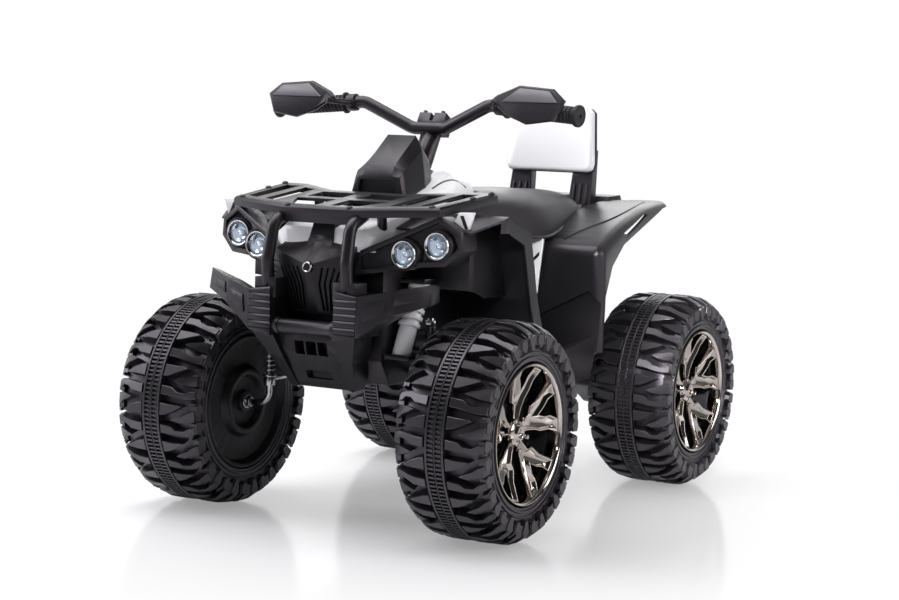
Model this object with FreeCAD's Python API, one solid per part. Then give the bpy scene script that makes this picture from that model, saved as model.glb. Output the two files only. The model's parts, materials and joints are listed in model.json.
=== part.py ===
# Kids quad bike, built piece by piece. Millimetres, front toward minus Y, left side toward plus X.
import FreeCAD
import Part
import math
import os

os.makedirs("parts", exist_ok=True)

# Overall layout
TYRE_RADIUS = 200.0
TYRE_WIDTH = 180.0
TRACK = 606.0
WHEELBASE = 765.0
NOSE_REACH = 160.0
LENGTH = WHEELBASE + 2 * TYRE_RADIUS
FRONT_Y = -WHEELBASE / 2
REAR_Y = WHEELBASE / 2
AXLE_Z = TYRE_RADIUS
WHEEL_X = TRACK / 2
FENDER_HALF = 300.0
SEAT_HEIGHT = 610.0

# Shared fits
OVERRUN = 5.0
RUN_GAP = 0.06
FACE_GAP = 0.4
WALL = 4.0
FULL_TURN = 360.0

# Tyre
LUG_HEIGHT = 12.0
BEAD_RADIUS = 128.0
LUG_PAIRS = 28
LONG_LUG_ROOT = 12.0
LONG_LUG_TIP = 17.0
LONG_LUG_SKEW = 16.0
SHORT_LUG_ROOT = 9.0
SHORT_LUG_TIP = 11.0
SHORT_LUG_SKEW = 9.0
BAND_WIDTH = 46.0
BAND_GROOVE = 5.0
BAND_GROOVE_DEPTH = 5.0
BAND_DROP = 1.0
BEAD_WIDTH_SHARE = 0.80
BULGE_SHARE = 0.97
BULGE_HEIGHT_SHARE = 0.42
SHOULDER_DROP_SHARE = 0.16
LUG_FACE_SHARES = ((0.40, 1.00), (0.82, 0.90), (1.00, 0.62), (1.00, 0.42))
LONG_LUG_SPAN_SHARES = (0.24, 1.10)
SHORT_LUG_SPAN_SHARES = (0.24, 0.68)

# Wheel core and rim, offsets outward from the wheel centre plane
CORE_INNER_END = -80.0
CORE_OUTER_END = 62.0
CORE_DISC_IN = -66.0
CORE_WALL = 7.0
CORE_HUB_RADIUS = 20.0
CORE_HUB_IN = -76.0
CORE_RING_RADII = (46.0, 52.0, 62.0, 70.0)
CORE_RING_OUT = -79.0
CORE_DISH_OUT = 20.0
CORE_SEAT_OUT = 38.0
CORE_SEAT_RADIUS = 26.0
NUT_POCKET_RADIUS = 16.0
NUT_POCKET_IN = 26.0
RIM_LIP_RADIUS = 127.0
RIM_LIP_OUT = 83.0
RIM_LIP_RING = 9.0
RIM_LIP_BEVEL = 3.0
RIM_FACE_OUT = 50.0
RIM_HUB_RADIUS = 27.0
RIM_SPOKES = 5
SPOKE_EDGE = 5.0
SPOKE_FLOOR_DROP = 5.0
SPOKE_THICKNESS = 11.0
SPOKE_RADIUS_SHARES = (0.17, 0.55, 0.90, 0.945)
SPOKE_WIDTH_SHARES = (0.23, 0.36, 0.66, 0.70)
SPOKE_OUT_SHARES = (0.600, 0.700, 0.900, 0.915)
CAP_RADIUS = 13.0
CAP_RISE = 7.0
CAP_BOLT_RADIUS = 5.0

# Front stub axles, springs and steering linkage
KINGPIN_X = 175.0
ROD_RADIUS = 6.0
ROD_BEND = 24.0
ROD_END = 34.0
KINGPIN_TOP = 391.0
SLEEVE_LOW = 322.0
SLEEVE_HIGH = 378.0
SLEEVE_RADIUS = 12.0
BEAM_LOW = 332.0
BEAM_HIGH = 368.0
BEAM_HALF_DEPTH = 17.0
BEAM_WALL = 3.0
COLLAR_LOW = 236.0
COLLAR_HIGH = 252.0
COLLAR_RADIUS = 11.0
SPRING_SEAT = 4.0
SPRING_SEAT_RADIUS = 14.0
SPRING_WIRE = 1.5
SPRING_COIL_RADIUS = 9.5
SPRING_TURNS = 7
SPRING_STEPS = 2
SPRING_SIDES = 6
STEER_ARM = 62.0
ARM_LOW = 246.0
ARM_THICKNESS = 6.0
ARM_HALF_WIDTH = 9.0
ARM_PIN_RADIUS = 5.0
ARM_PIN_HIGH = 305.0
CRANK_BALL = 5.0
CRANK_PIN_RADIUS = 3.5
TIE_LOW = 275.0
TIE_THICKNESS = 8.0
TIE_HALF_WIDTH = 15.0
TIE_SLOT_SIDE = 0.5
TIE_SLOT_BACK = 6.0
TIE_SLOT_AHEAD = 1.0
TIE_CLEAR = 6.0
TIE_TUNNEL_LOW = 262.0
TIE_TUNNEL_HIGH = 312.0
NUT_RADIUS = 11.0
NUT_HEIGHT = 9.0
NUT_SIDES = 6
WASHER_RADIUS = 14.0
WASHER_HEIGHT = 2.5

# Steering column and handlebar
RAKE_DEG = 30.0
STEM_BACK = 275.0
STEM_HEIGHT = 711.0
STEM_RADIUS = 20.0
SHAFT_RADIUS = 9.0
CRANK_LOW_HEIGHT = 246.0
STEM_BASE_HEIGHT = 640.0
STEM_TOP_HEIGHT = 722.0
COLUMN_CLEAR = 6.0
BUSH_HALF_WIDTH = 16.0
BUSH_REACH = 92.0
BUSH_LOW = 330.0
BUSH_HIGH = 348.0
BAR_RADIUS = 12.5
BAR_BEND = 38.0
BAR_SHARES = ((0.000, 0.352, 1.198), (0.120, 0.352, 1.198), (0.467, 0.336, 1.277), (1.120, 0.320, 1.251))
GRIP_INNER_SHARE = 0.20
GRIP_RADIUS = 16.0
GRIP_FLANGE = 21.0
GRIP_FLANGE_LENGTH = 5.0
GRIP_END_LENGTH = 4.0
GRIP_RIBS = 5
GRIP_RIB_RISE = 1.5
CLAMP_HALF_WIDTH = 30.0
CLAMP_DEPTH = 34.0
CLAMP_HEIGHT = 36.0
CLAMP_BOLT_RADIUS = 4.0
CLAMP_BOLT_X = 20.0
CLAMP_BOLT_HEAD = 5.0
CLAMP_SLOT_HALF = 4.0
GUARD_SHARES = ((0.580, 1.290), (0.620, 1.307), (0.770, 1.339), (1.010, 1.330), (1.100, 1.295),
                (1.040, 1.233), (0.853, 1.220), (0.707, 1.246))
GUARD_BACK_SHARE = 0.239
GUARD_LEAN_SHARE = 0.200
GUARD_BEVEL_SHARE = 0.93
GUARD_THICKNESS = 9.0
GUARD_WINDOW_SHARES = ((0.668, 1.288), (0.783, 1.331), (0.995, 1.323), (1.062, 1.288))
GUARD_WINDOW_PROUD = 2.5
GUARD_STAY_RADIUS = 6.0
GUARD_STAY_SHARES = ((0.620, 0.243, 1.279), (0.560, 0.288, 1.274), (0.517, 0.333, 1.272))
GUARD_CLAMP_RADIUS = 17.0
GUARD_CLAMP_LENGTH = 22.0

# Lower body tub, battery and rear drive
TUB_HALF_WIDTH = 116.0
TUB_SIDE_SHARES = ((-0.094, 0.511), (-0.052, 0.436), (1.046, 0.436), (1.111, 0.544), (1.111, 0.895),
                   (0.340, 0.872), (0.275, 0.830), (-0.094, 0.830))
TUB_EAR_REACH = 52.0
TUB_EAR_HALF = 26.0
TUB_EAR_THICKNESS = 9.0
BATTERY_SIZE = (150.0, 200.0, 130.0)
BATTERY_BACK = 560.0
BATTERY_POST_RADIUS = 6.0
BATTERY_POST_HEIGHT = 10.0
BATTERY_POST_X = 45.0
REAR_ROD_RADIUS = 8.0
HANGER_X = 122.0
HANGER_THICKNESS = 5.0
HANGER_HALF_DEPTH = 40.0
HANGER_LOW = 172.0
GEARBOX_IN = 127.0
GEARBOX_OUT = 206.0
GEARBOX_RADIUS = 46.0
GEARBOX_LOBE_RADIUS = 30.0
MOTOR_AHEAD = 78.0
MOTOR_HEIGHT = 226.0
MOTOR_RADIUS = 21.0
MOTOR_LENGTH = 62.0
MOTOR_BOSS_RADIUS = 9.0
MOTOR_BOSS_LENGTH = 5.0

# Nose: fascia, bull bar, bumpers, skid plate, winch roller
FASCIA_FOOT_SHARES = (0.644, 0.176, -0.155)
FASCIA_BEAK_SHARES = (0.795, 0.267, -0.188)
FASCIA_ROOF_SHARES = (0.856, 0.253, -0.138)
FASCIA_CHEEK_SHARE = 0.832
FASCIA_BACK_SHARE = -0.094
FASCIA_SPINE_SHARE = 0.027
FASCIA_SWEEP_SHARE = 0.018
FASCIA_SLATS = 5
SLAT_WIDTH = 4.5
SLAT_DEPTH = 7.0
SLAT_FOOT_SHARES = (0.070, 0.158, 0.655)
SLAT_KNEE_SHARES = (0.062, 0.190, 0.735)
SLAT_HEAD_SHARES = (0.092, 0.240, 0.785)
SCOOP_SHARES = ((0.846, 0.092, -0.142), (0.870, 0.084, -0.132), (0.925, 0.072, -0.118))
BOSS_RADIUS = 11.0
BOSS_PROUD = 3.0
POST_RADIUS = 11.5
POST_FOOT_WIDTH = 46.0
POST_FOOT_DEPTH = 40.0
POST_FOOT_RISE = 16.0
POST_FOOT_SET_BACK = 8.0
POST_BEND = 30.0
POST_SHARES = ((0.280, -0.184, 0.689), (0.280, -0.192, 0.803), (0.273, -0.173, 0.911),
               (0.267, -0.115, 0.938))
PAD_SHARES = ((0.223, 0.577), (0.377, 0.590), (0.383, 0.711), (0.230, 0.721))
PAD_DEPTH = 88.0
PAD_RIBS = 6
PAD_RIB_GROOVE = 2.0
PAD_RIB_DEPTH = 2.5
WING_ROOT_SHARES = ((-0.208, 0.590), (-0.144, 0.590), (-0.144, 0.689), (-0.208, 0.711))
WING_MID_SHARES = ((-0.188, 0.662), (-0.120, 0.662), (-0.120, 0.721), (-0.183, 0.734))
WING_TIP_SHARES = ((-0.145, 0.695), (-0.105, 0.702), (-0.105, 0.748), (-0.135, 0.756))
WING_X_SHARES = (0.380, 0.587, 0.793)
WING_PANEL_SHARES = (((0.425, 0.640), (0.550, 0.676), (0.560, 0.706), (0.440, 0.690)),
                     ((0.600, 0.690), (0.735, 0.709), (0.745, 0.733), (0.612, 0.722)))
WING_PANEL_RISE = 2.5
LEG_SHARES = ((0.597, 0.223, 0.380, -0.207, -0.131), (0.508, 0.200, 0.293, -0.162, -0.078),
              (0.418, 0.180, 0.230, -0.105, -0.065))
SKID_SHARES = ((-0.171, 0.587), (-0.161, 0.531), (-0.102, 0.418), (-0.078, 0.418), (-0.131, 0.531),
               (-0.146, 0.587))
SKID_HALF_SHARE = 0.223
SKID_WINDOW_SHARES = ((-0.115, -0.049, 0.522, 0.563), (-0.036, 0.036, 0.522, 0.563),
                      (0.049, 0.115, 0.522, 0.563),
                      (-0.093, 0.093, 0.446, 0.472))
ROLLER_RADIUS = 13.5
ROLLER_BACK = -141.0
ROLLER_HEIGHT = 370.0
ROLLER_HALF = 66.8
ROLLER_PIN_RADIUS = 4.0
ROLLER_PIN_HALF = 80.0
ROLLER_COLLAR_LENGTH = 12.0
ROLLER_COLLAR_RISE = 2.5

# Front lamps
HOUSING_SHARES = ((0.249, 0.831), (0.724, 0.946), (0.862, 0.905), (0.872, 0.850), (0.768, 0.802),
                  (0.562, 0.795), (0.414, 0.779), (0.249, 0.765))
HOUSING_RIM = 9.0
HOUSING_POCKET = 14.0
HOUSING_FRONT_SHARE = -0.137
HOUSING_SWEEP_SHARE = 0.132
HOUSING_DEPTH = 48.0
LAMP_CENTRE_SHARES = ((0.528, 0.833), (0.716, 0.861))
LAMP_RADIUS = 25.0
LAMP_DEPTH = 20.0
LAMP_PROUD = 1.0
LAMP_COLLAR = 4.0
LAMP_COLLAR_DROP = 4.0
BEZEL_WIDTH = 6.0
LENS_RISE = 5.0

# Body panels
FRONT_FENDER_SHARES = ((-0.044, 0.905), (0.068, 0.949), (0.183, 0.897), (0.231, 0.687), (0.260, 0.603),
                       (0.281, 0.541))
FRONT_FENDER_PLAN_SHARES = ((0.000, -0.044), (0.900, -0.044), (1.000, 0.052), (1.000, 0.327),
                            (0.000, 0.327))
FENDER_LIP = 28.0
FENDER_TYRE_GAP = 44.0
FENDER_TIP_SHARES = (0.078, 0.900)
FENDER_BOX_OUT_SHARE = 0.783
FENDER_BOX_SHARES = ((0.038, 0.697), (0.225, 0.697), (0.183, 0.885), (0.068, 0.937), (0.038, 0.925))
HOOD_SHARES = ((-0.136, 0.267, 0.834, 0.839), (-0.120, 0.333, 0.834, 0.898), (-0.065, 0.387, 0.830, 0.918),
               (0.119, 0.387, 0.830, 0.951))
HOOD_KNEE_SHARE = 0.7
HOOD_TOP_SHARE = 0.85
TANK_SHARES = ((0.119, 0.387, 0.830, 0.977), (0.209, 0.360, 0.830, 1.016), (0.314, 0.307, 0.830, 1.054),
               (0.385, 0.255, 0.852, 1.072), (0.438, 0.233, 0.872, 1.060), (0.486, 0.195, 0.918, 0.990))
TANK_SIDE_SHARES = ((1.0, 0.0), (0.985, 0.45), (0.80, 0.84), (0.42, 0.985), (0.0, 1.0))
SEAT_SHARES = ((0.327, 0.373, 0.892, 0.967), (0.431, 0.440, 0.866, 0.997), (0.549, 0.507, 0.848, 1.003),
               (0.654, 0.527, 0.844, 1.002), (0.784, 0.473, 0.879, 1.000), (0.902, 0.413, 0.915, 0.993),
               (0.957, 0.360, 0.938, 0.974))
SEAT_SIDE_SHARES = ((1.0, 0.0), (0.96, 0.30), (0.84, 0.72), (0.58, 0.96), (0.0, 1.0))
RACK_PLAN_SHARES = ((0.000, -0.157), (0.257, -0.156), (0.743, -0.081), (0.787, 0.165), (0.600, 0.165),
                    (0.280, 0.089), (0.000, 0.089))
RACK_TILT_DEG = 7.2
RACK_TOP_SHARE = 0.961
RACK_LIP = 17.0
RACK_VALANCE = 30.0
RACK_POST_LENGTH = 60.0
RACK_RIM = 9.0
RACK_DECK = 6.0
RACK_BEVEL = 4.0
RACK_WINDOW_SHARES = (((0.047, -0.128), (0.227, -0.128), (0.333, -0.042), (0.047, -0.042)),
                      ((0.047, -0.016), (0.307, -0.016), (0.307, 0.058), (0.047, 0.058)),
                      ((0.413, -0.094), (0.507, -0.081), (0.520, 0.105), (0.413, 0.084)),
                      ((0.587, -0.071), (0.680, -0.055), (0.707, 0.131), (0.600, 0.125)))
RACK_POST_SHARES = ((0.333, -0.078), (0.333, 0.052))
RACK_POST_RADIUS = 9.0
COWL_SHARES = ((0.111, 0.200, 0.160, 0.970, 1.046, 1.049), (0.123, 0.207, 0.167, 0.970, 1.062, 1.082),
               (0.221, 0.200, 0.153, 0.970, 1.128, 1.175), (0.277, 0.167, 0.127, 0.970, 1.089, 1.111))
COWL_TOP_SHARE = 0.103
COWL_RECESS_SHARES = ((-0.152, 0.972), (0.152, 0.972), (0.128, 1.036), (-0.128, 1.036))
COWL_RECESS = 8.0
ACCENT_SHARES = ((0.752, 0.914), (0.867, 0.905), (0.905, 0.962), (0.800, 0.960))
ACCENT_FRONT_SHARE = -0.033
ACCENT_DEPTH = 6.0
KNEE_SHARES = ((0.000, 0.666), (0.503, 0.666), (0.540, 0.848), (0.000, 0.848))
KNEE_FRONT_SHARE = 0.604
KNEE_THICKNESS = 5.0
REAR_FOOT_SHARES = (0.640, 0.482)
REAR_ROOF_SHARES = ((0.622, 0.825), (0.860, 0.9165), (1.176, 0.964))
REAR_FENDER_PLAN_SHARES = ((0.000, 0.575), (0.9725, 0.575), (0.793, 1.182), (0.620, 1.182),
                           (0.387, 1.098), (0.000, 1.098))
REAR_FENDER_ROUND = 22.0
REAR_FENDER_FRONT_WALL = 12.0
REAR_FLARE_THICKNESS = 6.0
REAR_FLARE_UNDER_SHARES = ((0.660, 0.400), (0.660, 0.668), (0.707, 0.764), (0.797, 0.831), (1.131, 0.939),
                           (1.250, 0.955), (1.250, 0.400))
REAR_FLARE_WINDOW_SHARES = ((0.792, 0.868), (0.829, 0.862), (0.993, 0.922), (0.973, 0.926))
REAR_WALL_SHARES = ((0.380, 0.400), (0.380, 0.566), (0.853, 0.684), (0.945, 0.640),
                    (1.100, 0.640), (1.100, 0.400))
REAR_WALL_FACE_SHARE = 0.6445
FOOTBOARD_SHARES = ((0.323, 0.489), (0.637, 0.489), (0.637, 0.479), (0.617, 0.400), (0.340, 0.400),
                    (0.323, 0.459))
FOOTBOARD_OUT_SHARE = 0.907
FOOT_RIM_WIDTH = 20.0
FOOT_RIM_SHARES = ((0.323, 0.489), (0.637, 0.489), (0.637, 0.538), (0.471, 0.508), (0.323, 0.505))
FOOT_RIBS = 6
FOOT_RIB_RISE = 3.0
FOOT_RIB_WIDTH = 6.0
TAIL_SHARES = ((1.111, 0.754), (1.111, 0.912), (0.950, 0.908), (0.950, 0.928), (1.088, 0.934), (1.100, 0.972),
               (1.176, 0.977), (1.197, 0.938), (1.192, 0.780), (1.176, 0.754))
TAIL_HALF_SHARE = 0.413

# Backrest
POST_FOOT_HALF = 28.0
POST_HEAD_HALF = 21.0
POST_X = 74.0
POST_BASE_SHARE = 0.926
POST_TOP_SHARE = 1.148
POST_DEPTH = 24.0
REST_SHARES = ((0.307, 1.061), (0.343, 1.069), (0.353, 1.092), (0.310, 1.274), (0.280, 1.287))
REST_THICKNESS = 18.0
REST_SHELL = 5.0
REST_RIM = 1.5
REST_EDGE = 7.0
REST_LEAN_DEG = 9.0
REST_BACK_SHARE = 1.027
REST_PIVOT_SHARE = 1.061

# Front dummy shocks
SHOCK_TOP_SHARES = (0.483, 0.016, 0.741)
SHOCK_LOW_SHARES = (0.456, -0.047, 0.534)
SHOCK_RADIUS = 17.0
SHOCK_RIB_RADIUS = 21.0
SHOCK_RIBS = 6
SHOCK_RIBBED_SHARE = 0.62

# Controls
PEDAL_X = -205.0
PEDAL_HALF_WIDTH = 32.0
PEDAL_BACK = 300.0
PEDAL_LENGTH = 92.0
PEDAL_THICKNESS = 9.0
PEDAL_RISE = 14.0
PEDAL_SLOPE_DEG = 14.0
PEDAL_PIN_RADIUS = 3.5
PEDAL_BOX_WALL = 6.0
BUTTON_RADIUS = 7.0
BUTTON_PROUD = 4.0
BUTTON_DEPTH = 8.0
SWITCH_HALF_WIDTH = 7.0
SWITCH_HALF_LENGTH = 11.0
SWITCH_DEPTH = 8.0
SWITCH_PROUD = 5.0
SWITCH_SWING = 3.0
SWITCH_PIN_RADIUS = 2.0
SWITCH_PIN_DROP = 2.0
SWITCH_PIN_REACH = 2.5
POCKET_DEPTH = 12.0
CONTROL_X = 14.0
PEDAL_BARREL = 7.0
CONTROL_GAP = 0.3


def vec(x, y, z):
    return FreeCAD.Vector(x, y, z)


ORIGIN = vec(0, 0, 0)
LEFT = vec(1, 0, 0)
BACK = vec(0, 1, 0)
UP = vec(0, 0, 1)


def spot(x, back, height):
    """A point in shares: across by the fender half width, back by the wheelbase, up by the seat height."""
    return vec(x * FENDER_HALF, FRONT_Y + back * WHEELBASE, height * SEAT_HEIGHT)


def wire(points):
    return Part.makePolygon(list(points) + [points[0]])


def face(points):
    return Part.Face(wire(points))


def prism(points, sweep):
    return face(points).extrude(sweep)


def skin(sections):
    return Part.makeLoft([wire(points) for points in sections], True, True)


def box(low, high):
    size = high - low
    return Part.makeBox(size.x, size.y, size.z, low)


def drum(radius, start, end):
    span = end - start
    return Part.makeCylinder(radius, span.Length, start, span)


def spun(points):
    """A ring turned about the X axis from its half section, given as offset and radius."""
    return face([vec(x, 0, r) for x, r in points]).revolve(ORIGIN, LEFT, FULL_TURN)


def mirrored(shape):
    return shape.mirror(ORIGIN, LEFT)


def both(shape):
    return shape.fuse(mirrored(shape)).removeSplitter()


def one(shape):
    return max(shape.Solids, key=lambda solid: solid.Volume)


def hexagon(radius, start, end):
    span = end - start
    outline = [vec(radius * math.cos(turn), radius * math.sin(turn), 0)
               for turn in (2 * math.pi * side / NUT_SIDES for side in range(NUT_SIDES))]
    nut = prism(outline, vec(0, 0, span.Length))
    nut.Placement = FreeCAD.Placement(start, FreeCAD.Rotation(UP, span))
    return nut


def rounded_path(points, bend):
    """Straight runs joined by tangent arcs."""
    edges = []
    start = points[0]
    for before, corner, after in zip(points, points[1:], points[2:]):
        inward = (before - corner).normalize()
        onward = (after - corner).normalize()
        half = inward.getAngle(onward) / 2
        reach = bend / math.tan(half)
        entry = corner + inward * reach
        leave = corner + onward * reach
        middle = corner + (inward + onward).normalize() * (bend / math.sin(half) - bend)
        edges.append(Part.LineSegment(start, entry).toShape())
        edges.append(Part.Arc(entry, middle, leave).toShape())
        start = leave
    edges.append(Part.LineSegment(start, points[-1]).toShape())
    return Part.Wire(edges)


def bent_tube(points, radius, bend):
    path = rounded_path(points, bend)
    ring = Part.Wire(Part.makeCircle(radius, points[0], points[1] - points[0]))
    return path.makePipeShell([ring], True, False)


def offset_line(points, thickness):
    """The same run of side-view points moved square to itself."""
    moved = []
    for index, (y, z) in enumerate(points):
        before = points[max(index - 1, 0)]
        after = points[min(index + 1, len(points) - 1)]
        legs = []
        for first, second in ((before, (y, z)), ((y, z), after)):
            run = math.hypot(second[0] - first[0], second[1] - first[1])
            if run > 0:
                legs.append(((first[1] - second[1]) / run, (second[0] - first[0]) / run))
        normal_y = sum(leg[0] for leg in legs)
        normal_z = sum(leg[1] for leg in legs)
        square = normal_y * legs[0][0] + normal_z * legs[0][1]
        moved.append((y + normal_y * thickness / square, z + normal_z * thickness / square))
    return moved


def bent_sheet(side_shares, thickness, x_low, x_high):
    """A sheet folded along a side view and drawn out sideways."""
    line = [(FRONT_Y + back * WHEELBASE, height * SEAT_HEIGHT) for back, height in side_shares]
    under = offset_line(line, -thickness)
    outline = [vec(x_low, y, z) for y, z in line + under[::-1]]
    return prism(outline, vec(x_high - x_low, 0, 0))


def plan_block(plan_shares):
    """An upright block through the whole bike over a plan outline."""
    outline = [spot(x, back, 0) for x, back in plan_shares]
    return prism(outline, vec(0, 0, LENGTH))


# Wheels
def tyre():
    half = TYRE_WIDTH / 2
    depth = TYRE_RADIUS - BEAD_RADIUS
    tread = TYRE_RADIUS - LUG_HEIGHT
    bead = half * BEAD_WIDTH_SHARE
    shoulder = tread - depth * SHOULDER_DROP_SHARE
    bulge = BEAD_RADIUS + depth * BULGE_HEIGHT_SHARE
    edges = [Part.LineSegment(vec(bead, 0, BEAD_RADIUS), vec(-bead, 0, BEAD_RADIUS)),
             Part.Arc(vec(-bead, 0, BEAD_RADIUS), vec(-half * BULGE_SHARE, 0, bulge), vec(-bead, 0, shoulder)),
             Part.Arc(vec(-bead, 0, shoulder), vec(0, 0, tread), vec(bead, 0, shoulder)),
             Part.Arc(vec(bead, 0, shoulder), vec(half * BULGE_SHARE, 0, bulge), vec(bead, 0, BEAD_RADIUS))]
    outline = Part.Wire([edge.toShape() for edge in edges])
    carcass = Part.Face(outline).revolve(ORIGIN, LEFT, FULL_TURN)
    faces = [(half * across, BEAD_RADIUS + depth * high) for across, high in LUG_FACE_SHARES]
    envelope = spun(faces + [(0, faces[-1][1])] + [(-x, r) for x, r in faces[::-1]])
    bars = []
    step = FULL_TURN / LUG_PAIRS
    for index in range(LUG_PAIRS):
        for side in (1, -1):
            turn = index * step + (0 if side > 0 else step / 2)
            bars.append(lug(side, LONG_LUG_SPAN_SHARES, LONG_LUG_ROOT, LONG_LUG_TIP, LONG_LUG_SKEW, turn))
            bars.append(lug(side, SHORT_LUG_SPAN_SHARES, SHORT_LUG_ROOT, SHORT_LUG_TIP, SHORT_LUG_SKEW,
                            turn + step / 2))
    lugs = envelope.common(Part.makeCompound(bars))
    band_end = vec(BAND_WIDTH / 2, 0, 0)
    band = drum(TYRE_RADIUS - BAND_DROP, -band_end, band_end)
    groove_end = vec(BAND_GROOVE / 2, 0, 0)
    floor = TYRE_RADIUS - BAND_DROP - BAND_GROOVE_DEPTH
    groove = drum(TYRE_RADIUS, -groove_end, groove_end).cut(drum(floor, -groove_end, groove_end))
    bore = drum(BEAD_RADIUS, vec(-half, 0, 0), vec(half, 0, 0))
    return one(carcass.fuse([lugs, band]).cut(groove).cut(bore))


def lug(side, span_shares, root, tip, skew, turn):
    half = TYRE_WIDTH / 2
    near = side * half * span_shares[0]
    far = side * half * span_shares[1]
    foot = [vec(near, -root / 2, BEAD_RADIUS), vec(far, skew - tip / 2, BEAD_RADIUS),
            vec(far, skew + tip / 2, BEAD_RADIUS), vec(near, root / 2, BEAD_RADIUS)]
    bar = prism(foot, vec(0, 0, TYRE_RADIUS - BEAD_RADIUS + OVERRUN))
    bar.rotate(ORIGIN, LEFT, turn)
    return bar


def wheel_core(bore, hub_in):
    barrel = BEAD_RADIUS - CORE_WALL
    ring_in, ring_low, ring_high, ring_out = CORE_RING_RADII
    dish = CORE_DISH_OUT + CORE_WALL
    outside = spun([(hub_in, bore), (hub_in, CORE_HUB_RADIUS), (CORE_DISC_IN, CORE_HUB_RADIUS),
                    (CORE_DISC_IN, ring_in), (CORE_RING_OUT, ring_low), (CORE_RING_OUT, ring_high),
                    (CORE_DISC_IN, ring_out), (CORE_DISC_IN, barrel - CORE_WALL), (CORE_INNER_END, barrel),
                    (CORE_INNER_END, BEAD_RADIUS), (CORE_OUTER_END, BEAD_RADIUS), (CORE_OUTER_END, barrel),
                    (CORE_DISH_OUT, barrel - CORE_WALL), (dish, CORE_SEAT_RADIUS + CORE_WALL),
                    (CORE_SEAT_OUT, CORE_SEAT_RADIUS), (CORE_SEAT_OUT, NUT_POCKET_RADIUS),
                    (NUT_POCKET_IN, NUT_POCKET_RADIUS), (NUT_POCKET_IN, bore)])
    hollow = spun([(CORE_DISC_IN + CORE_WALL, CORE_SEAT_RADIUS), (CORE_DISC_IN + CORE_WALL, barrel - CORE_WALL),
                   (CORE_DISH_OUT - CORE_WALL, barrel - CORE_WALL), (CORE_DISH_OUT, CORE_SEAT_RADIUS)])
    return one(outside.cut(hollow))


def rim():
    lip_in = RIM_LIP_RADIUS - RIM_LIP_RING
    shape = spun([(CORE_OUTER_END, lip_in), (CORE_OUTER_END, RIM_LIP_RADIUS),
                  (RIM_LIP_OUT, RIM_LIP_RADIUS), (RIM_LIP_OUT, lip_in + RIM_LIP_BEVEL),
                  (RIM_LIP_OUT - RIM_LIP_BEVEL, lip_in)])
    hub = drum(RIM_HUB_RADIUS, vec(CORE_SEAT_OUT, 0, 0), vec(RIM_FACE_OUT, 0, 0))
    spokes = []
    for index in range(RIM_SPOKES):
        arm = spoke()
        arm.rotate(ORIGIN, LEFT, index * FULL_TURN / RIM_SPOKES)
        spokes.append(arm)
    cap = drum(CAP_RADIUS, vec(RIM_FACE_OUT, 0, 0), vec(RIM_FACE_OUT + CAP_RISE, 0, 0))
    bolt_start = vec(RIM_FACE_OUT + CAP_RISE, 0, 0)
    bolt = hexagon(CAP_BOLT_RADIUS, bolt_start, bolt_start + LEFT * CAP_BOLT_RADIUS)
    return one(shape.fuse([hub, cap, bolt] + spokes).removeSplitter())


def spoke():
    sections = []
    for radius_share, width_share, out_share in zip(SPOKE_RADIUS_SHARES, SPOKE_WIDTH_SHARES, SPOKE_OUT_SHARES):
        radius = radius_share * RIM_LIP_RADIUS
        half = width_share * RIM_LIP_RADIUS / 2
        top = out_share * RIM_LIP_OUT
        low = top - SPOKE_THICKNESS
        floor = top - SPOKE_FLOOR_DROP
        inner = half - SPOKE_EDGE - SPOKE_FLOOR_DROP / 2
        corners = ((-half, low), (half, low), (half, top), (half - SPOKE_EDGE, top), (inner, floor),
                   (-inner, floor), (SPOKE_EDGE - half, top), (-half, top))
        sections.append([vec(out, across, radius) for across, out in corners])
    return skin(sections)


def at_wheel(shape, side, axle_y):
    placed = shape.copy() if side > 0 else mirrored(shape)
    placed.translate(vec(side * WHEEL_X, axle_y, AXLE_Z))
    return placed


# Front suspension and steering
def stub_axle():
    path = [vec(KINGPIN_X, FRONT_Y, KINGPIN_TOP), vec(KINGPIN_X, FRONT_Y, AXLE_Z),
            vec(WHEEL_X + ROD_END, FRONT_Y, AXLE_Z)]
    rod = bent_tube(path, ROD_RADIUS, ROD_BEND)
    collar = drum(COLLAR_RADIUS, vec(KINGPIN_X, FRONT_Y, COLLAR_LOW), vec(KINGPIN_X, FRONT_Y, COLLAR_HIGH))
    pin_y = FRONT_Y + STEER_ARM
    arm = box(vec(KINGPIN_X - ARM_HALF_WIDTH, FRONT_Y, ARM_LOW),
              vec(KINGPIN_X + ARM_HALF_WIDTH, pin_y, ARM_LOW + ARM_THICKNESS))
    eye = drum(ARM_HALF_WIDTH, vec(KINGPIN_X, pin_y, ARM_LOW), vec(KINGPIN_X, pin_y, ARM_LOW + ARM_THICKNESS))
    pin = drum(ARM_PIN_RADIUS, vec(KINGPIN_X, pin_y, ARM_LOW), vec(KINGPIN_X, pin_y, ARM_PIN_HIGH))
    return one(rod.fuse([collar, arm, eye, pin]))


def kingpin_nut():
    low = vec(KINGPIN_X, FRONT_Y, SLEEVE_HIGH + FACE_GAP)
    nut = hexagon(NUT_RADIUS, low, low + UP * NUT_HEIGHT)
    return nut.cut(drum(ROD_RADIUS, low - UP * OVERRUN, low + UP * (NUT_HEIGHT + OVERRUN)))


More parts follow.
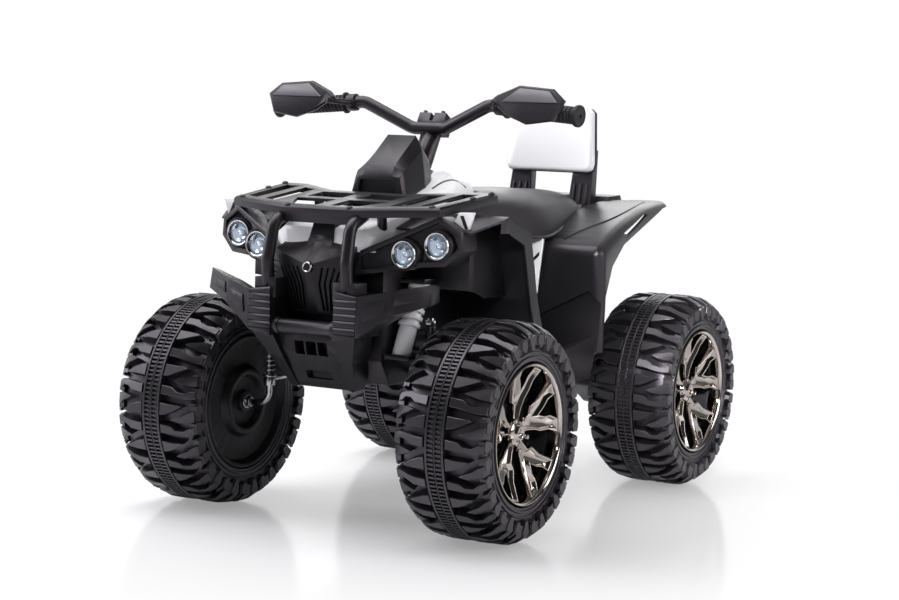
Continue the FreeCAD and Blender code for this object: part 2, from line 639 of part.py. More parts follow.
def axle_nuts(axle_y, rod_radius):
    """Inner washer and nut, and the outer nut in its pocket under the rim, on the left side."""
    inner = vec(WHEEL_X + CORE_HUB_IN - FACE_GAP, axle_y, AXLE_Z)
    washer = drum(WASHER_RADIUS, inner - LEFT * WASHER_HEIGHT, inner)
    seat = inner - LEFT * WASHER_HEIGHT
    nut = hexagon(NUT_RADIUS, seat - LEFT * NUT_HEIGHT, seat)
    outer = vec(WHEEL_X + NUT_POCKET_IN + FACE_GAP, axle_y, AXLE_Z)
    lock = hexagon(NUT_RADIUS, outer, outer + LEFT * (ROD_END - NUT_POCKET_IN - FACE_GAP))
    rod = drum(rod_radius, vec(0, axle_y, AXLE_Z), vec(TRACK, axle_y, AXLE_Z))
    return Part.makeCompound([solid.cut(rod) for solid in (washer, nut, lock)])


def spring_seat():
    low = vec(KINGPIN_X, FRONT_Y, COLLAR_HIGH + FACE_GAP)
    ring = drum(SPRING_SEAT_RADIUS, low, low + UP * SPRING_SEAT)
    return ring.cut(drum(ROD_RADIUS + RUN_GAP, low - UP * OVERRUN, low + UP * (SPRING_SEAT + OVERRUN)))


def arc_through(start, corner, end):
    """The arc that leaves start toward corner and arrives at end from corner."""
    middle = (start + end) / 2
    half = (end - start).Length / 2
    apex = corner - middle
    turn = 2 * math.atan2(apex.Length, half)
    crest = middle + apex.normalize() * (half * math.tan(turn / 4))
    return Part.Arc(start, crest, end).toShape()


def coil(low, high):
    """One unbroken six-sided spring wire wound in half turns, each half turn a pair of tangent arcs."""
    steps = SPRING_TURNS * SPRING_STEPS
    rise = (high - low - 2 * SPRING_WIRE) / steps
    half_turn = 2 * math.pi / SPRING_STEPS
    climb = rise / half_turn
    points = []
    tangents = []
    for index in range(steps + 1):
        turn = index * half_turn
        points.append(vec(SPRING_COIL_RADIUS * math.cos(turn), SPRING_COIL_RADIUS * math.sin(turn),
                          low + SPRING_WIRE + index * rise))
        tangents.append(vec(-SPRING_COIL_RADIUS * math.sin(turn), SPRING_COIL_RADIUS * math.cos(turn),
                            climb).normalize())
    edges = []
    for start, end, leave, arrive in zip(points, points[1:], tangents, tangents[1:]):
        chord = end - start
        total = leave + arrive
        square = total.dot(total) - 4
        slope = chord.dot(total)
        reach = (slope - math.sqrt(slope * slope - square * chord.dot(chord))) / square
        first = start + leave * reach
        second = end - arrive * reach
        joint = (first + second) / 2
        edges.append(arc_through(start, first, joint))
        edges.append(arc_through(joint, second, end))
    head = Part.LineSegment(points[0] - tangents[0] * SPRING_WIRE * 2, points[0]).toShape()
    tail = Part.LineSegment(points[-1], points[-1] + tangents[-1] * SPRING_WIRE * 2).toShape()
    path = Part.Wire([head] + edges + [tail])
    rise_side = tangents[0].cross(LEFT)
    corners = []
    for index in range(SPRING_SIDES + 1):
        turn = 2 * math.pi * index / SPRING_SIDES
        corners.append(points[0] - tangents[0] * SPRING_WIRE * 2
                       + LEFT * (SPRING_WIRE * math.cos(turn)) + rise_side * (SPRING_WIRE * math.sin(turn)))
    ring = Part.makePolygon(corners)
    print("spring wire, least gap between turns", round(rise * SPRING_STEPS - 2 * SPRING_WIRE, 2))
    shape = path.makePipeShell([ring], True, False)
    shape.translate(vec(KINGPIN_X, FRONT_Y, 0))
    return shape


def column_point(height):
    """The point of the steering axis at a height."""
    return vec(0, FRONT_Y + STEM_BACK - (STEM_HEIGHT - height) * math.tan(math.radians(RAKE_DEG)), height)


def front_crossmember():
    far = KINGPIN_X
    beam = box(vec(-far, FRONT_Y - BEAM_HALF_DEPTH, BEAM_LOW), vec(far, FRONT_Y + BEAM_HALF_DEPTH, BEAM_HIGH))
    channel = box(vec(-far, FRONT_Y - BEAM_HALF_DEPTH + BEAM_WALL, BEAM_LOW - OVERRUN),
                  vec(far, FRONT_Y + BEAM_HALF_DEPTH - BEAM_WALL, BEAM_HIGH - BEAM_WALL))
    shape = beam.cut(channel)
    for side in (1, -1):
        low = vec(side * KINGPIN_X, FRONT_Y, SLEEVE_LOW)
        high = vec(side * KINGPIN_X, FRONT_Y, SLEEVE_HIGH)
        shape = shape.fuse(drum(SLEEVE_RADIUS, low, high))
    bush = box(vec(-BUSH_HALF_WIDTH, FRONT_Y + BEAM_HALF_DEPTH, BUSH_LOW),
               vec(BUSH_HALF_WIDTH, FRONT_Y + BUSH_REACH, BUSH_HIGH))
    shape = shape.fuse(bush)
    for side in (1, -1):
        low = vec(side * KINGPIN_X, FRONT_Y, SLEEVE_LOW - OVERRUN)
        high = vec(side * KINGPIN_X, FRONT_Y, SLEEVE_HIGH + OVERRUN)
        shape = shape.cut(drum(ROD_RADIUS + RUN_GAP, low, high))
    bore = drum(SHAFT_RADIUS + RUN_GAP, column_point(CRANK_LOW_HEIGHT), column_point(STEM_HEIGHT))
    return one(shape.cut(bore))


def tie_rod():
    y = FRONT_Y + STEER_ARM
    half = KINGPIN_X + TIE_HALF_WIDTH
    bar = box(vec(-half, y - TIE_HALF_WIDTH, TIE_LOW), vec(half, y + TIE_HALF_WIDTH, TIE_LOW + TIE_THICKNESS))
    wide = CRANK_BALL + TIE_SLOT_SIDE
    for x in (-KINGPIN_X, 0, KINGPIN_X):
        slot = box(vec(x - wide, y - CRANK_BALL - TIE_SLOT_BACK, TIE_LOW - OVERRUN),
                   vec(x + wide, y + CRANK_BALL + TIE_SLOT_AHEAD, TIE_LOW + TIE_THICKNESS + OVERRUN))
        bar = bar.cut(slot)
    return one(bar)


def steering_shaft():
    low = column_point(CRANK_LOW_HEIGHT)
    base = column_point(STEM_BASE_HEIGHT)
    top = column_point(STEM_TOP_HEIGHT)
    rod = drum(SHAFT_RADIUS, low, top)
    stem = drum(STEM_RADIUS, base, top)
    pin_y = FRONT_Y + STEER_ARM
    crank = box(vec(-ARM_HALF_WIDTH, low.y - SHAFT_RADIUS, ARM_LOW),
                vec(ARM_HALF_WIDTH, pin_y + ARM_HALF_WIDTH, ARM_LOW + ARM_THICKNESS))
    ball_point = vec(0, pin_y, TIE_LOW + TIE_THICKNESS / 2)
    pin = drum(CRANK_PIN_RADIUS, vec(0, pin_y, ARM_LOW), ball_point)
    ball = Part.makeSphere(CRANK_BALL, ball_point)
    return one(rod.fuse([stem, crank, pin, ball]))


def bar_points(side):
    return [spot(side * x, back, height) for x, back, height in BAR_SHARES]


def handlebar():
    left = bar_points(1)
    right = bar_points(-1)
    return bent_tube(right[:0:-1] + left[1:], BAR_RADIUS, BAR_BEND)


def grip():
    inner, outer = bar_points(1)[2:]
    along = (outer - inner).normalize()
    length = (outer - inner).Length
    start = inner + along * (length * GRIP_INNER_SHARE)
    end = outer + along * GRIP_END_LENGTH
    shape = drum(GRIP_RADIUS, start, end)
    flange = drum(GRIP_FLANGE, start, start + along * GRIP_FLANGE_LENGTH)
    knob = drum(GRIP_FLANGE, end - along * GRIP_FLANGE_LENGTH, end)
    ribs = []
    pitch = (end - start).Length / (GRIP_RIBS + 1)
    for index in range(GRIP_RIBS):
        place = start + along * (pitch * (index + 1))
        ribs.append(drum(GRIP_RADIUS + GRIP_RIB_RISE, place, place + along * (pitch / 2)))
    return one(shape.fuse([flange, knob] + ribs).cut(drum(BAR_RADIUS, inner, outer)))


def handlebar_clamp():
    top = column_point(STEM_TOP_HEIGHT)
    axis = (column_point(STEM_HEIGHT) - column_point(CRANK_LOW_HEIGHT)).normalize()
    corner = vec(-CLAMP_HALF_WIDTH, -CLAMP_DEPTH / 2, 0)
    block = Part.makeBox(CLAMP_HALF_WIDTH * 2, CLAMP_DEPTH, CLAMP_HEIGHT, corner)
    bolts = []
    for x in (-CLAMP_BOLT_X, CLAMP_BOLT_X):
        for y in (-CLAMP_DEPTH / 2 + CLAMP_BOLT_RADIUS, CLAMP_DEPTH / 2 - CLAMP_BOLT_RADIUS):
            foot = vec(x, y, CLAMP_HEIGHT)
            bolts.append(drum(CLAMP_BOLT_RADIUS, foot, foot + UP * CLAMP_BOLT_HEAD))
    slot = box(vec(-CLAMP_SLOT_HALF, -CLAMP_DEPTH, CLAMP_HEIGHT / 2),
               vec(CLAMP_SLOT_HALF, CLAMP_DEPTH, CLAMP_HEIGHT + OVERRUN))
    block = block.cut(slot).fuse(bolts)
    block.Placement = FreeCAD.Placement(top, FreeCAD.Rotation(UP, axis))
    return block


def guard_point(x, z, set_back):
    """A point of the guard's leaning plane."""
    foot = min(high for across, high in GUARD_SHARES)
    return spot(x, GUARD_BACK_SHARE + (z - foot) * GUARD_LEAN_SHARE, z) + BACK * set_back


def guard_face(scale, set_back):
    """The guard outline drawn in by a scale about its middle."""
    middle_x = sum(x for x, z in GUARD_SHARES) / len(GUARD_SHARES)
    middle_z = sum(z for x, z in GUARD_SHARES) / len(GUARD_SHARES)
    return [guard_point(middle_x + (x - middle_x) * scale, middle_z + (z - middle_z) * scale, set_back)
            for x, z in GUARD_SHARES]


def hand_guard():
    """A flat blade ahead of the grip, its stay and its clamp round the bar."""
    blade = skin([guard_face(GUARD_BEVEL_SHARE, 0), guard_face(1, GUARD_THICKNESS / 2),
                  guard_face(1, GUARD_THICKNESS)])
    stay = bent_tube([spot(*share) for share in GUARD_STAY_SHARES], GUARD_STAY_RADIUS, GUARD_STAY_RADIUS * 2)
    inner, outer = bar_points(1)[2:]
    along = (outer - inner).normalize()
    start = inner + along * BAR_BEND / 2
    clamp = drum(GUARD_CLAMP_RADIUS, start, start + along * GUARD_CLAMP_LENGTH)
    return one(blade.fuse([stay, clamp]).cut(drum(BAR_RADIUS, inner - along * BAR_BEND, outer)))


def guard_window(guard):
    outlines = [[guard_point(x, z, set_back) for x, z in GUARD_WINDOW_SHARES]
                for set_back in (-GUARD_WINDOW_PROUD, GUARD_THICKNESS / 2)]
    return one(skin(outlines).cut(guard))


# Lower body, battery and rear drive
def side_block(side_shares, x_low, x_high):
    outline = [spot(0, back, height) + LEFT * x_low for back, height in side_shares]
    return prism(outline, vec(x_high - x_low, 0, 0))


def tub_outside():
    return side_block(TUB_SIDE_SHARES, -TUB_HALF_WIDTH, TUB_HALF_WIDTH)


def tub_ear(shares, upward):
    centre = spot(*shares)
    low = centre.z if upward > 0 else centre.z - TUB_EAR_THICKNESS
    return box(vec(TUB_HALF_WIDTH - WALL, centre.y - TUB_EAR_HALF, low),
               vec(TUB_HALF_WIDTH + TUB_EAR_REACH, centre.y + TUB_EAR_HALF, low + TUB_EAR_THICKNESS))


def lower_body():
    outside = tub_outside()
    flat = face([spot(0, back, height) for back, height in TUB_SIDE_SHARES]).makeOffset2D(-WALL)
    inner_half = TUB_HALF_WIDTH - WALL
    flat.translate(LEFT * -inner_half)
    hollow = flat.extrude(LEFT * (2 * inner_half))
    upper = hollow.copy()
    upper.translate(UP * 2 * WALL)
    shape = outside.cut(hollow.fuse(upper))
    ears = [tub_ear(SHOCK_LOW_SHARES, -1), tub_ear(SHOCK_TOP_SHARES, 1)]
    shape = shape.fuse(ears + [mirrored(ear) for ear in ears])
    beam = box(vec(-KINGPIN_X, FRONT_Y - BEAM_HALF_DEPTH, BEAM_LOW),
               vec(KINGPIN_X, FRONT_Y + BEAM_HALF_DEPTH, BEAM_HIGH))
    column = drum(SHAFT_RADIUS + COLUMN_CLEAR, column_point(CRANK_LOW_HEIGHT), column_point(BUSH_LOW))
    tie_y = FRONT_Y + STEER_ARM
    tie_half = TIE_HALF_WIDTH + TIE_CLEAR
    tunnel = box(vec(-KINGPIN_X, tie_y - tie_half, TIE_TUNNEL_LOW),
                 vec(KINGPIN_X, tie_y + tie_half, TIE_TUNNEL_HIGH))
    return one(shape.cut([beam, column, tunnel]))


def battery():
    width, depth, height = BATTERY_SIZE
    floor = TUB_SIDE_SHARES[1][1] * SEAT_HEIGHT + WALL
    y = FRONT_Y + BATTERY_BACK
    case = box(vec(-width / 2, y - depth / 2, floor), vec(width / 2, y + depth / 2, floor + height))
    for side in (1, -1):
        foot = vec(side * BATTERY_POST_X, y, floor + height)
        case = case.fuse(drum(BATTERY_POST_RADIUS, foot, foot + UP * BATTERY_POST_HEIGHT))
    return case


def rear_axle():
    end = WHEEL_X + ROD_END
    return drum(REAR_ROD_RADIUS, vec(-end, REAR_Y, AXLE_Z), vec(end, REAR_Y, AXLE_Z))


def rear_axle_bracket(rod):
    floor = TUB_SIDE_SHARES[1][1] * SEAT_HEIGHT
    far = HANGER_X + HANGER_THICKNESS
    block = box(vec(-far, REAR_Y - HANGER_HALF_DEPTH, HANGER_LOW), vec(far, REAR_Y + HANGER_HALF_DEPTH, floor))
    space = box(vec(-HANGER_X, REAR_Y - HANGER_HALF_DEPTH - OVERRUN, HANGER_LOW - OVERRUN),
                vec(HANGER_X, REAR_Y + HANGER_HALF_DEPTH + OVERRUN, floor - HANGER_THICKNESS))
    return block.cut(space).cut(rod)


def gearbox(rod):
    axle = vec(GEARBOX_IN, REAR_Y, AXLE_Z)
    pinion = vec(GEARBOX_IN, REAR_Y - MOTOR_AHEAD, MOTOR_HEIGHT)
    wide = LEFT * (GEARBOX_OUT - GEARBOX_IN)
    run = (pinion - axle).normalize()
    square = vec(0, -run.z, run.y)
    web = prism([axle + square * GEARBOX_RADIUS, pinion + square * GEARBOX_LOBE_RADIUS,
                 pinion - square * GEARBOX_LOBE_RADIUS, axle - square * GEARBOX_RADIUS], wide)
    lobe = drum(GEARBOX_LOBE_RADIUS, pinion, pinion + wide)
    shape = drum(GEARBOX_RADIUS, axle, axle + wide).fuse([lobe, web])
    return one(shape.removeSplitter().cut(rod))


def motor():
    face_end = vec(GEARBOX_IN, REAR_Y - MOTOR_AHEAD, MOTOR_HEIGHT)
    back_end = face_end - LEFT * MOTOR_LENGTH
    boss = drum(MOTOR_BOSS_RADIUS, back_end - LEFT * MOTOR_BOSS_LENGTH, back_end)
    return drum(MOTOR_RADIUS, back_end, face_end).fuse(boss)


def rear_lock_nut(rod):
    outer = vec(WHEEL_X + NUT_POCKET_IN + FACE_GAP, REAR_Y, AXLE_Z)
    return hexagon(NUT_RADIUS, outer, outer + LEFT * (ROD_END - NUT_POCKET_IN - FACE_GAP)).cut(rod)


# Nose
def fascia_ring(shares, cheek):
    """One level of the beak: spine in the middle, cheeks swept back at both sides."""
    level, half, front = shares
    right = [spot(half, FASCIA_BACK_SHARE, cheek), spot(half, front + FASCIA_SWEEP_SHARE, cheek),
             spot(FASCIA_SPINE_SHARE, front, level)]
    return right + [vec(-p.x, p.y, p.z) for p in right[::-1]]


def beak_front(x, level):
    """How far back the beak's face lies, as a share, at a place across and up."""
    foot, foot_half, foot_front = FASCIA_FOOT_SHARES
    beak, beak_half, beak_front_share = FASCIA_BEAK_SHARES
    rise = (level - foot) / (beak - foot)
    half = foot_half + (beak_half - foot_half) * rise
    front = foot_front + (beak_front_share - foot_front) * rise
    return front + FASCIA_SWEEP_SHARE * (x - FASCIA_SPINE_SHARE) / (half - FASCIA_SPINE_SHARE)


def slat(place):
    """A bent slot in the cheek, its place running from the spine to the outer edge."""
    rows = []
    for near, far, level in (SLAT_FOOT_SHARES, SLAT_KNEE_SHARES, SLAT_HEAD_SHARES):
        x = near + (far - near) * place
        middle = spot(x, beak_front(x, level), level)
        left = LEFT * (SLAT_WIDTH / 2)
        rows.append([middle - left - BACK * SLAT_DEPTH, middle + left - BACK * SLAT_DEPTH,
                     middle + left + BACK * SLAT_DEPTH, middle - left + BACK * SLAT_DEPTH])
    return skin(rows)


def fascia():
    foot, beak, roof = FASCIA_FOOT_SHARES, FASCIA_BEAK_SHARES, FASCIA_ROOF_SHARES
    shape = skin([fascia_ring(foot, foot[0]), fascia_ring(beak, FASCIA_CHEEK_SHARE),
                  fascia_ring(roof, roof[0])])
    for index in range(FASCIA_SLATS):
        slot = slat(index / (FASCIA_SLATS - 1))
        shape = shape.cut([slot, mirrored(slot)])
    level = SLAT_HEAD_SHARES[2]
    centre = spot(0, beak_front(FASCIA_SPINE_SHARE, level), level)
    boss = drum(BOSS_RADIUS, centre - BACK * BOSS_PROUD, centre + BACK * BOSS_RADIUS)
    scoop = []
    for level, half, front_share in SCOOP_SHARES:
        scoop.append([spot(-half, front_share, level), spot(half, front_share, level),
                      spot(half, FASCIA_BACK_SHARE, level), spot(-half, FASCIA_BACK_SHARE, level)])
    return one(shape.fuse([boss, skin(scoop)]))


def bull_bar_post():
    points = [spot(*share) for share in POST_SHARES]
    corner = vec(points[0].x - POST_FOOT_WIDTH / 2, FRONT_Y - NOSE_REACH + POST_FOOT_SET_BACK, points[0].z)
    pad_top = max(z for x, z in PAD_SHARES) * SEAT_HEIGHT
    foot = box(corner, vec(corner.x + POST_FOOT_WIDTH, corner.y + POST_FOOT_DEPTH, pad_top + POST_FOOT_RISE))
    return bent_tube(points, POST_RADIUS, POST_BEND).fuse(foot)


def bumper():
    front = FRONT_Y - NOSE_REACH
    outline = [vec(x * FENDER_HALF, front, z * SEAT_HEIGHT) for x, z in PAD_SHARES]
    pad = prism(outline, BACK * PAD_DEPTH)
    low = min(p.z for p in outline)
    high = max(p.z for p in outline)
    pitch = (high - low) / (PAD_RIBS + 1)
    for index in range(PAD_RIBS):
        z = low + pitch * (index + 1)
        groove = box(vec(0, front - OVERRUN, z - PAD_RIB_GROOVE / 2),
                     vec(TRACK, front + PAD_RIB_DEPTH, z + PAD_RIB_GROOVE / 2))
        pad = pad.cut(groove)
    sections = []
    for x, shares in zip(WING_X_SHARES, (WING_ROOT_SHARES, WING_MID_SHARES, WING_TIP_SHARES)):
        sections.append([spot(x, back, height) for back, height in shares])
    wing = skin(sections)
    panels = []
    for shares in WING_PANEL_SHARES:
        outline = [vec(x * FENDER_HALF, front - OVERRUN, z * SEAT_HEIGHT) for x, z in shares]
        raised = wing.copy()
        raised.translate(BACK * -WING_PANEL_RISE)
        panels.append(raised.common(prism(outline, BACK * (NOSE_REACH / 2))))
    return one(pad.fuse([wing] + panels))


def bumper_leg():
    sections = []
    for level, x_in, x_out, front, back in LEG_SHARES:
        sections.append([spot(x_in, front, level), spot(x_out, front, level), spot(x_out, back, level),
                         spot(x_in, back, level)])
    return skin(sections)


def skid_plate():
    half = SKID_HALF_SHARE * FENDER_HALF
    shape = side_block(SKID_SHARES, -half, half)
    for x_low, x_high, low, high in SKID_WINDOW_SHARES:
        window = box(vec(x_low * FENDER_HALF, FRONT_Y - NOSE_REACH, low * SEAT_HEIGHT),
                     vec(x_high * FENDER_HALF, FRONT_Y, high * SEAT_HEIGHT))
        shape = shape.cut(window)
    return shape


def winch_roller():
    centre = vec(0, FRONT_Y + ROLLER_BACK, ROLLER_HEIGHT)
    barrel = drum(ROLLER_RADIUS, centre - LEFT * ROLLER_HALF, centre + LEFT * ROLLER_HALF)
    collar = drum(ROLLER_RADIUS + ROLLER_COLLAR_RISE, centre + LEFT * (ROLLER_HALF - ROLLER_COLLAR_LENGTH),
                  centre + LEFT * ROLLER_HALF)
    return barrel.fuse([collar, mirrored(collar), roller_pin()])


def roller_pin():
    centre = vec(0, FRONT_Y + ROLLER_BACK, ROLLER_HEIGHT)
    return drum(ROLLER_PIN_RADIUS, centre - LEFT * ROLLER_PIN_HALF, centre + LEFT * ROLLER_PIN_HALF)


# Front lamps
def housing_front(x):
    return HOUSING_FRONT_SHARE + HOUSING_SWEEP_SHARE * (x - HOUSING_SHARES[0][0])


def lamp_mouth(x, z):
    return spot(x, housing_front(x), z) - BACK * LAMP_PROUD


def headlight_housing():
    """A swept brow with a rimmed pocket, and a black collar round each lamp."""
    outline = [spot(x, housing_front(x), z) for x, z in HOUSING_SHARES]
    shape = prism(outline, BACK * HOUSING_DEPTH)
    pocket = face(outline).makeOffset2D(-HOUSING_RIM)
    pocket.translate(BACK * -OVERRUN)
    shape = shape.cut(pocket.extrude(BACK * (HOUSING_POCKET + OVERRUN)))
    for x, z in LAMP_CENTRE_SHARES:
        mouth = lamp_mouth(x, z)
        collar = drum(LAMP_RADIUS + LAMP_COLLAR, mouth + BACK * LAMP_COLLAR_DROP,
                      mouth + BACK * (2 * LAMP_DEPTH))
        shape = shape.fuse(collar)
    for x, z in LAMP_CENTRE_SHARES:
        mouth = lamp_mouth(x, z)
        shape = shape.cut(drum(LAMP_RADIUS, mouth - BACK * OVERRUN, mouth + BACK * LAMP_DEPTH))
    return shape


def headlight_bezels():
    rings = []
    for x, z in LAMP_CENTRE_SHARES:
        mouth = lamp_mouth(x, z)
        cup = drum(LAMP_RADIUS, mouth, mouth + BACK * LAMP_DEPTH)
        bore = drum(LAMP_RADIUS - BEZEL_WIDTH, mouth - BACK * OVERRUN, mouth + BACK * (LAMP_DEPTH / 2))
        rings.append(cup.cut(bore))
    return Part.makeCompound(rings)


def headlight_lenses():
    lenses = []
    for x, z in LAMP_CENTRE_SHARES:
        mouth = lamp_mouth(x, z)
        radius = LAMP_RADIUS - BEZEL_WIDTH
        disc = drum(radius, mouth + BACK * LENS_RISE, mouth + BACK * (LAMP_DEPTH / 2))
        dome = Part.makeCone(radius, radius / 2, LENS_RISE, mouth + BACK * LENS_RISE, BACK * -1)
        lenses.append(disc.fuse(dome))
    return Part.makeCompound(lenses)


# Body panels
def front_fender():
    sheet = bent_sheet(FRONT_FENDER_SHARES, WALL, TUB_HALF_WIDTH, FENDER_HALF)
    lip = bent_sheet(FRONT_FENDER_SHARES, FENDER_LIP, FENDER_HALF - WALL, FENDER_HALF)
    tip_back, tip_foot = FENDER_TIP_SHARES
    below = spot(0, tip_back, tip_foot)
    lip = lip.cut(box(vec(0, FRONT_Y - NOSE_REACH, 0), vec(TRACK, below.y, below.z)))
    swing = drum(TYRE_RADIUS + FENDER_TYRE_GAP, vec(0, FRONT_Y, AXLE_Z), vec(TRACK, FRONT_Y, AXLE_Z))
    outer = FENDER_BOX_OUT_SHARE * FENDER_HALF
    liner = side_block(FENDER_BOX_SHARES, TUB_HALF_WIDTH, outer)
    inner = face([spot(0, back, height) for back, height in FENDER_BOX_SHARES]).makeOffset2D(-WALL)
    inner = inner.extrude(LEFT * (outer - WALL))
    lower = inner.copy()
    lower.translate(UP * -2 * WALL)
    shape = sheet.fuse(liner.cut(inner.fuse(lower)))
    return one(shape.fuse(lip).common(plan_block(FRONT_FENDER_PLAN_SHARES)).cut(swing))


def crowned_section(back, half, low, high, side_shares, inset):
    """A closed section with a flat foot and a crowned top."""
    half = half * FENDER_HALF - inset
    low = low * SEAT_HEIGHT
    high = high * SEAT_HEIGHT - inset
    y = FRONT_Y + back * WHEELBASE
    right = [vec(half * across, y, low + (high - low) * up) for across, up in side_shares]
    points = right + [vec(-p.x, p.y, p.z) for p in right[-2::-1]]
    crown = Part.BSplineCurve()
    crown.interpolate(points)
    foot = Part.LineSegment(points[-1], points[0])
    return Part.Wire([crown.toShape(), foot.toShape()])


def crowned_body(shares, side_shares, inset):
    return Part.makeLoft([crowned_section(*row, side_shares, inset) for row in shares], True, False)


def hood_body(inset):
    sections = []
    for back, half, low, high in HOOD_SHARES:
        x = half * FENDER_HALF - inset
        top = high * SEAT_HEIGHT - inset
        foot = low * SEAT_HEIGHT - (OVERRUN if inset else 0)
        knee = foot + (top - foot) * HOOD_KNEE_SHARE
        y = FRONT_Y + back * WHEELBASE
        right = [vec(x, y, foot), vec(x, y, knee), vec(x * HOOD_TOP_SHARE, y, top)]
        sections.append(right + [vec(-p.x, p.y, p.z) for p in right[::-1]])
    return skin(sections[1:] if inset else sections)


def hood():
    hollow = hood_body(WALL)
    hollow.translate(BACK * WALL)
    return one(hood_body(0).cut(hollow))


def tank_cover(outside):
    inner = crowned_body(TANK_SHARES, TANK_SIDE_SHARES, WALL)
    inner.translate(UP * -WALL)
    column = drum(STEM_RADIUS + COLUMN_CLEAR, column_point(BUSH_HIGH), column_point(STEM_HEIGHT + STEM_RADIUS))
    return one(outside.cut(inner).cut(column))


def rack_outline(shares):
    return [vec(x * FENDER_HALF, back * WHEELBASE, 0) for x, back in shares]


def front_rack():
    right = rack_outline(RACK_PLAN_SHARES)
    ring = right + [vec(-p.x, p.y, 0) for p in right[-2:0:-1]]
    deck = prism(ring, UP * -RACK_LIP)
    top_edges = [edge for edge in deck.Edges
                 if all(abs(vertex.Point.z) < RUN_GAP for vertex in edge.Vertexes)]
    deck = deck.makeChamfer(RACK_BEVEL, top_edges)
    pocket = face(ring).makeOffset2D(-RACK_RIM)
    pocket.translate(UP * -RACK_DECK)
    deck = deck.cut(pocket.extrude(UP * -RACK_LIP))
    for shares in RACK_WINDOW_SHARES:
        window = prism([p + UP * OVERRUN for p in rack_outline(shares)], UP * -(RACK_LIP + OVERRUN))
        deck = deck.cut([window, mirrored(window)])
    posts = []
    for x, back in RACK_POST_SHARES:
        head = vec(x * FENDER_HALF, back * WHEELBASE, -RACK_DECK / 2)
        post = drum(RACK_POST_RADIUS, head - UP * RACK_POST_LENGTH, head)
        posts += [post, mirrored(post)]
    valance_back = RACK_PLAN_SHARES[1][1] * WHEELBASE
    half = RACK_PLAN_SHARES[1][0] * FENDER_HALF
    valance = box(vec(-half, valance_back, -RACK_VALANCE), vec(half, valance_back + RACK_RIM, -RACK_DECK))
    deck = deck.fuse(posts + [valance])
    deck.rotate(vec(0, right[1].y, 0), LEFT, RACK_TILT_DEG)
    deck.translate(vec(0, FRONT_Y, RACK_TOP_SHARE * SEAT_HEIGHT))
    return one(deck)


def steering_cowl():
    sections = []
    for back, foot_half, knee_half, foot, knee, top in COWL_SHARES:
        right = [spot(foot_half, back, foot), spot(knee_half, back, knee), spot(COWL_TOP_SHARE, back, top)]
        sections.append(right + [vec(-p.x, p.y, p.z) for p in right[::-1]])
    column = drum(STEM_RADIUS + COLUMN_CLEAR, column_point(BUSH_HIGH), column_point(STEM_HEIGHT + STEM_RADIUS))
    recess = prism([spot(x, COWL_SHARES[0][0], z) - BACK * OVERRUN for x, z in COWL_RECESS_SHARES],
                   BACK * (COWL_RECESS + OVERRUN))
    return skin(sections).cut([column, recess])


def on_cowl(shape, x):
    """Sets a shape made about the upright axis on the face of the cowl that looks at the rider."""
    front = spot(0, COWL_SHARES[2][0], COWL_SHARES[2][5])
    rear = spot(0, COWL_SHARES[3][0], COWL_SHARES[3][5])
    slope = rear - front
    middle = (front + rear) / 2 + LEFT * x
    shape.Placement = FreeCAD.Placement(middle, FreeCAD.Rotation(UP, LEFT.cross(slope)))
    return shape


def power_button():
    return on_cowl(drum(BUTTON_RADIUS, UP * -BUTTON_DEPTH, UP * BUTTON_PROUD), -CONTROL_X)


def button_pocket():
    return on_cowl(drum(BUTTON_RADIUS + CONTROL_GAP, UP * -POCKET_DEPTH, UP * OVERRUN), -CONTROL_X)


def direction_switch():
    """A rocker that tips about a crosswise axis, its two ends bevelled away from the panel."""
    side = -SWITCH_HALF_WIDTH
    outline = [vec(side, -SWITCH_HALF_LENGTH, SWITCH_PROUD / 2), vec(side, 0, SWITCH_PROUD),
               vec(side, SWITCH_HALF_LENGTH, SWITCH_PROUD / 2), vec(side, 0, -SWITCH_DEPTH)]
    rocker = prism(outline, LEFT * (2 * SWITCH_HALF_WIDTH)).fuse(switch_pin(SWITCH_PIN_RADIUS, 0))
    return on_cowl(rocker, CONTROL_X)


def switch_pin(radius, spare):
    half = SWITCH_HALF_WIDTH + CONTROL_GAP + SWITCH_PIN_REACH + spare
    return drum(radius, vec(-half, 0, -SWITCH_PIN_DROP), vec(half, 0, -SWITCH_PIN_DROP))


def switch_pocket():
    half = SWITCH_HALF_LENGTH + SWITCH_SWING
    wide = SWITCH_HALF_WIDTH + CONTROL_GAP
    pocket = box(vec(-wide, -half, -POCKET_DEPTH), vec(wide, half, OVERRUN))
    return on_cowl(pocket.fuse(switch_pin(SWITCH_PIN_RADIUS + RUN_GAP, CONTROL_GAP)), CONTROL_X)


def front_accent():
    outline = [spot(x, ACCENT_FRONT_SHARE, z) for x, z in ACCENT_SHARES]
    return prism(outline, BACK * ACCENT_DEPTH)


def knee_trim():
    outline = [spot(x, KNEE_FRONT_SHARE, z) for x, z in KNEE_SHARES]
    return prism(outline, BACK * KNEE_THICKNESS)


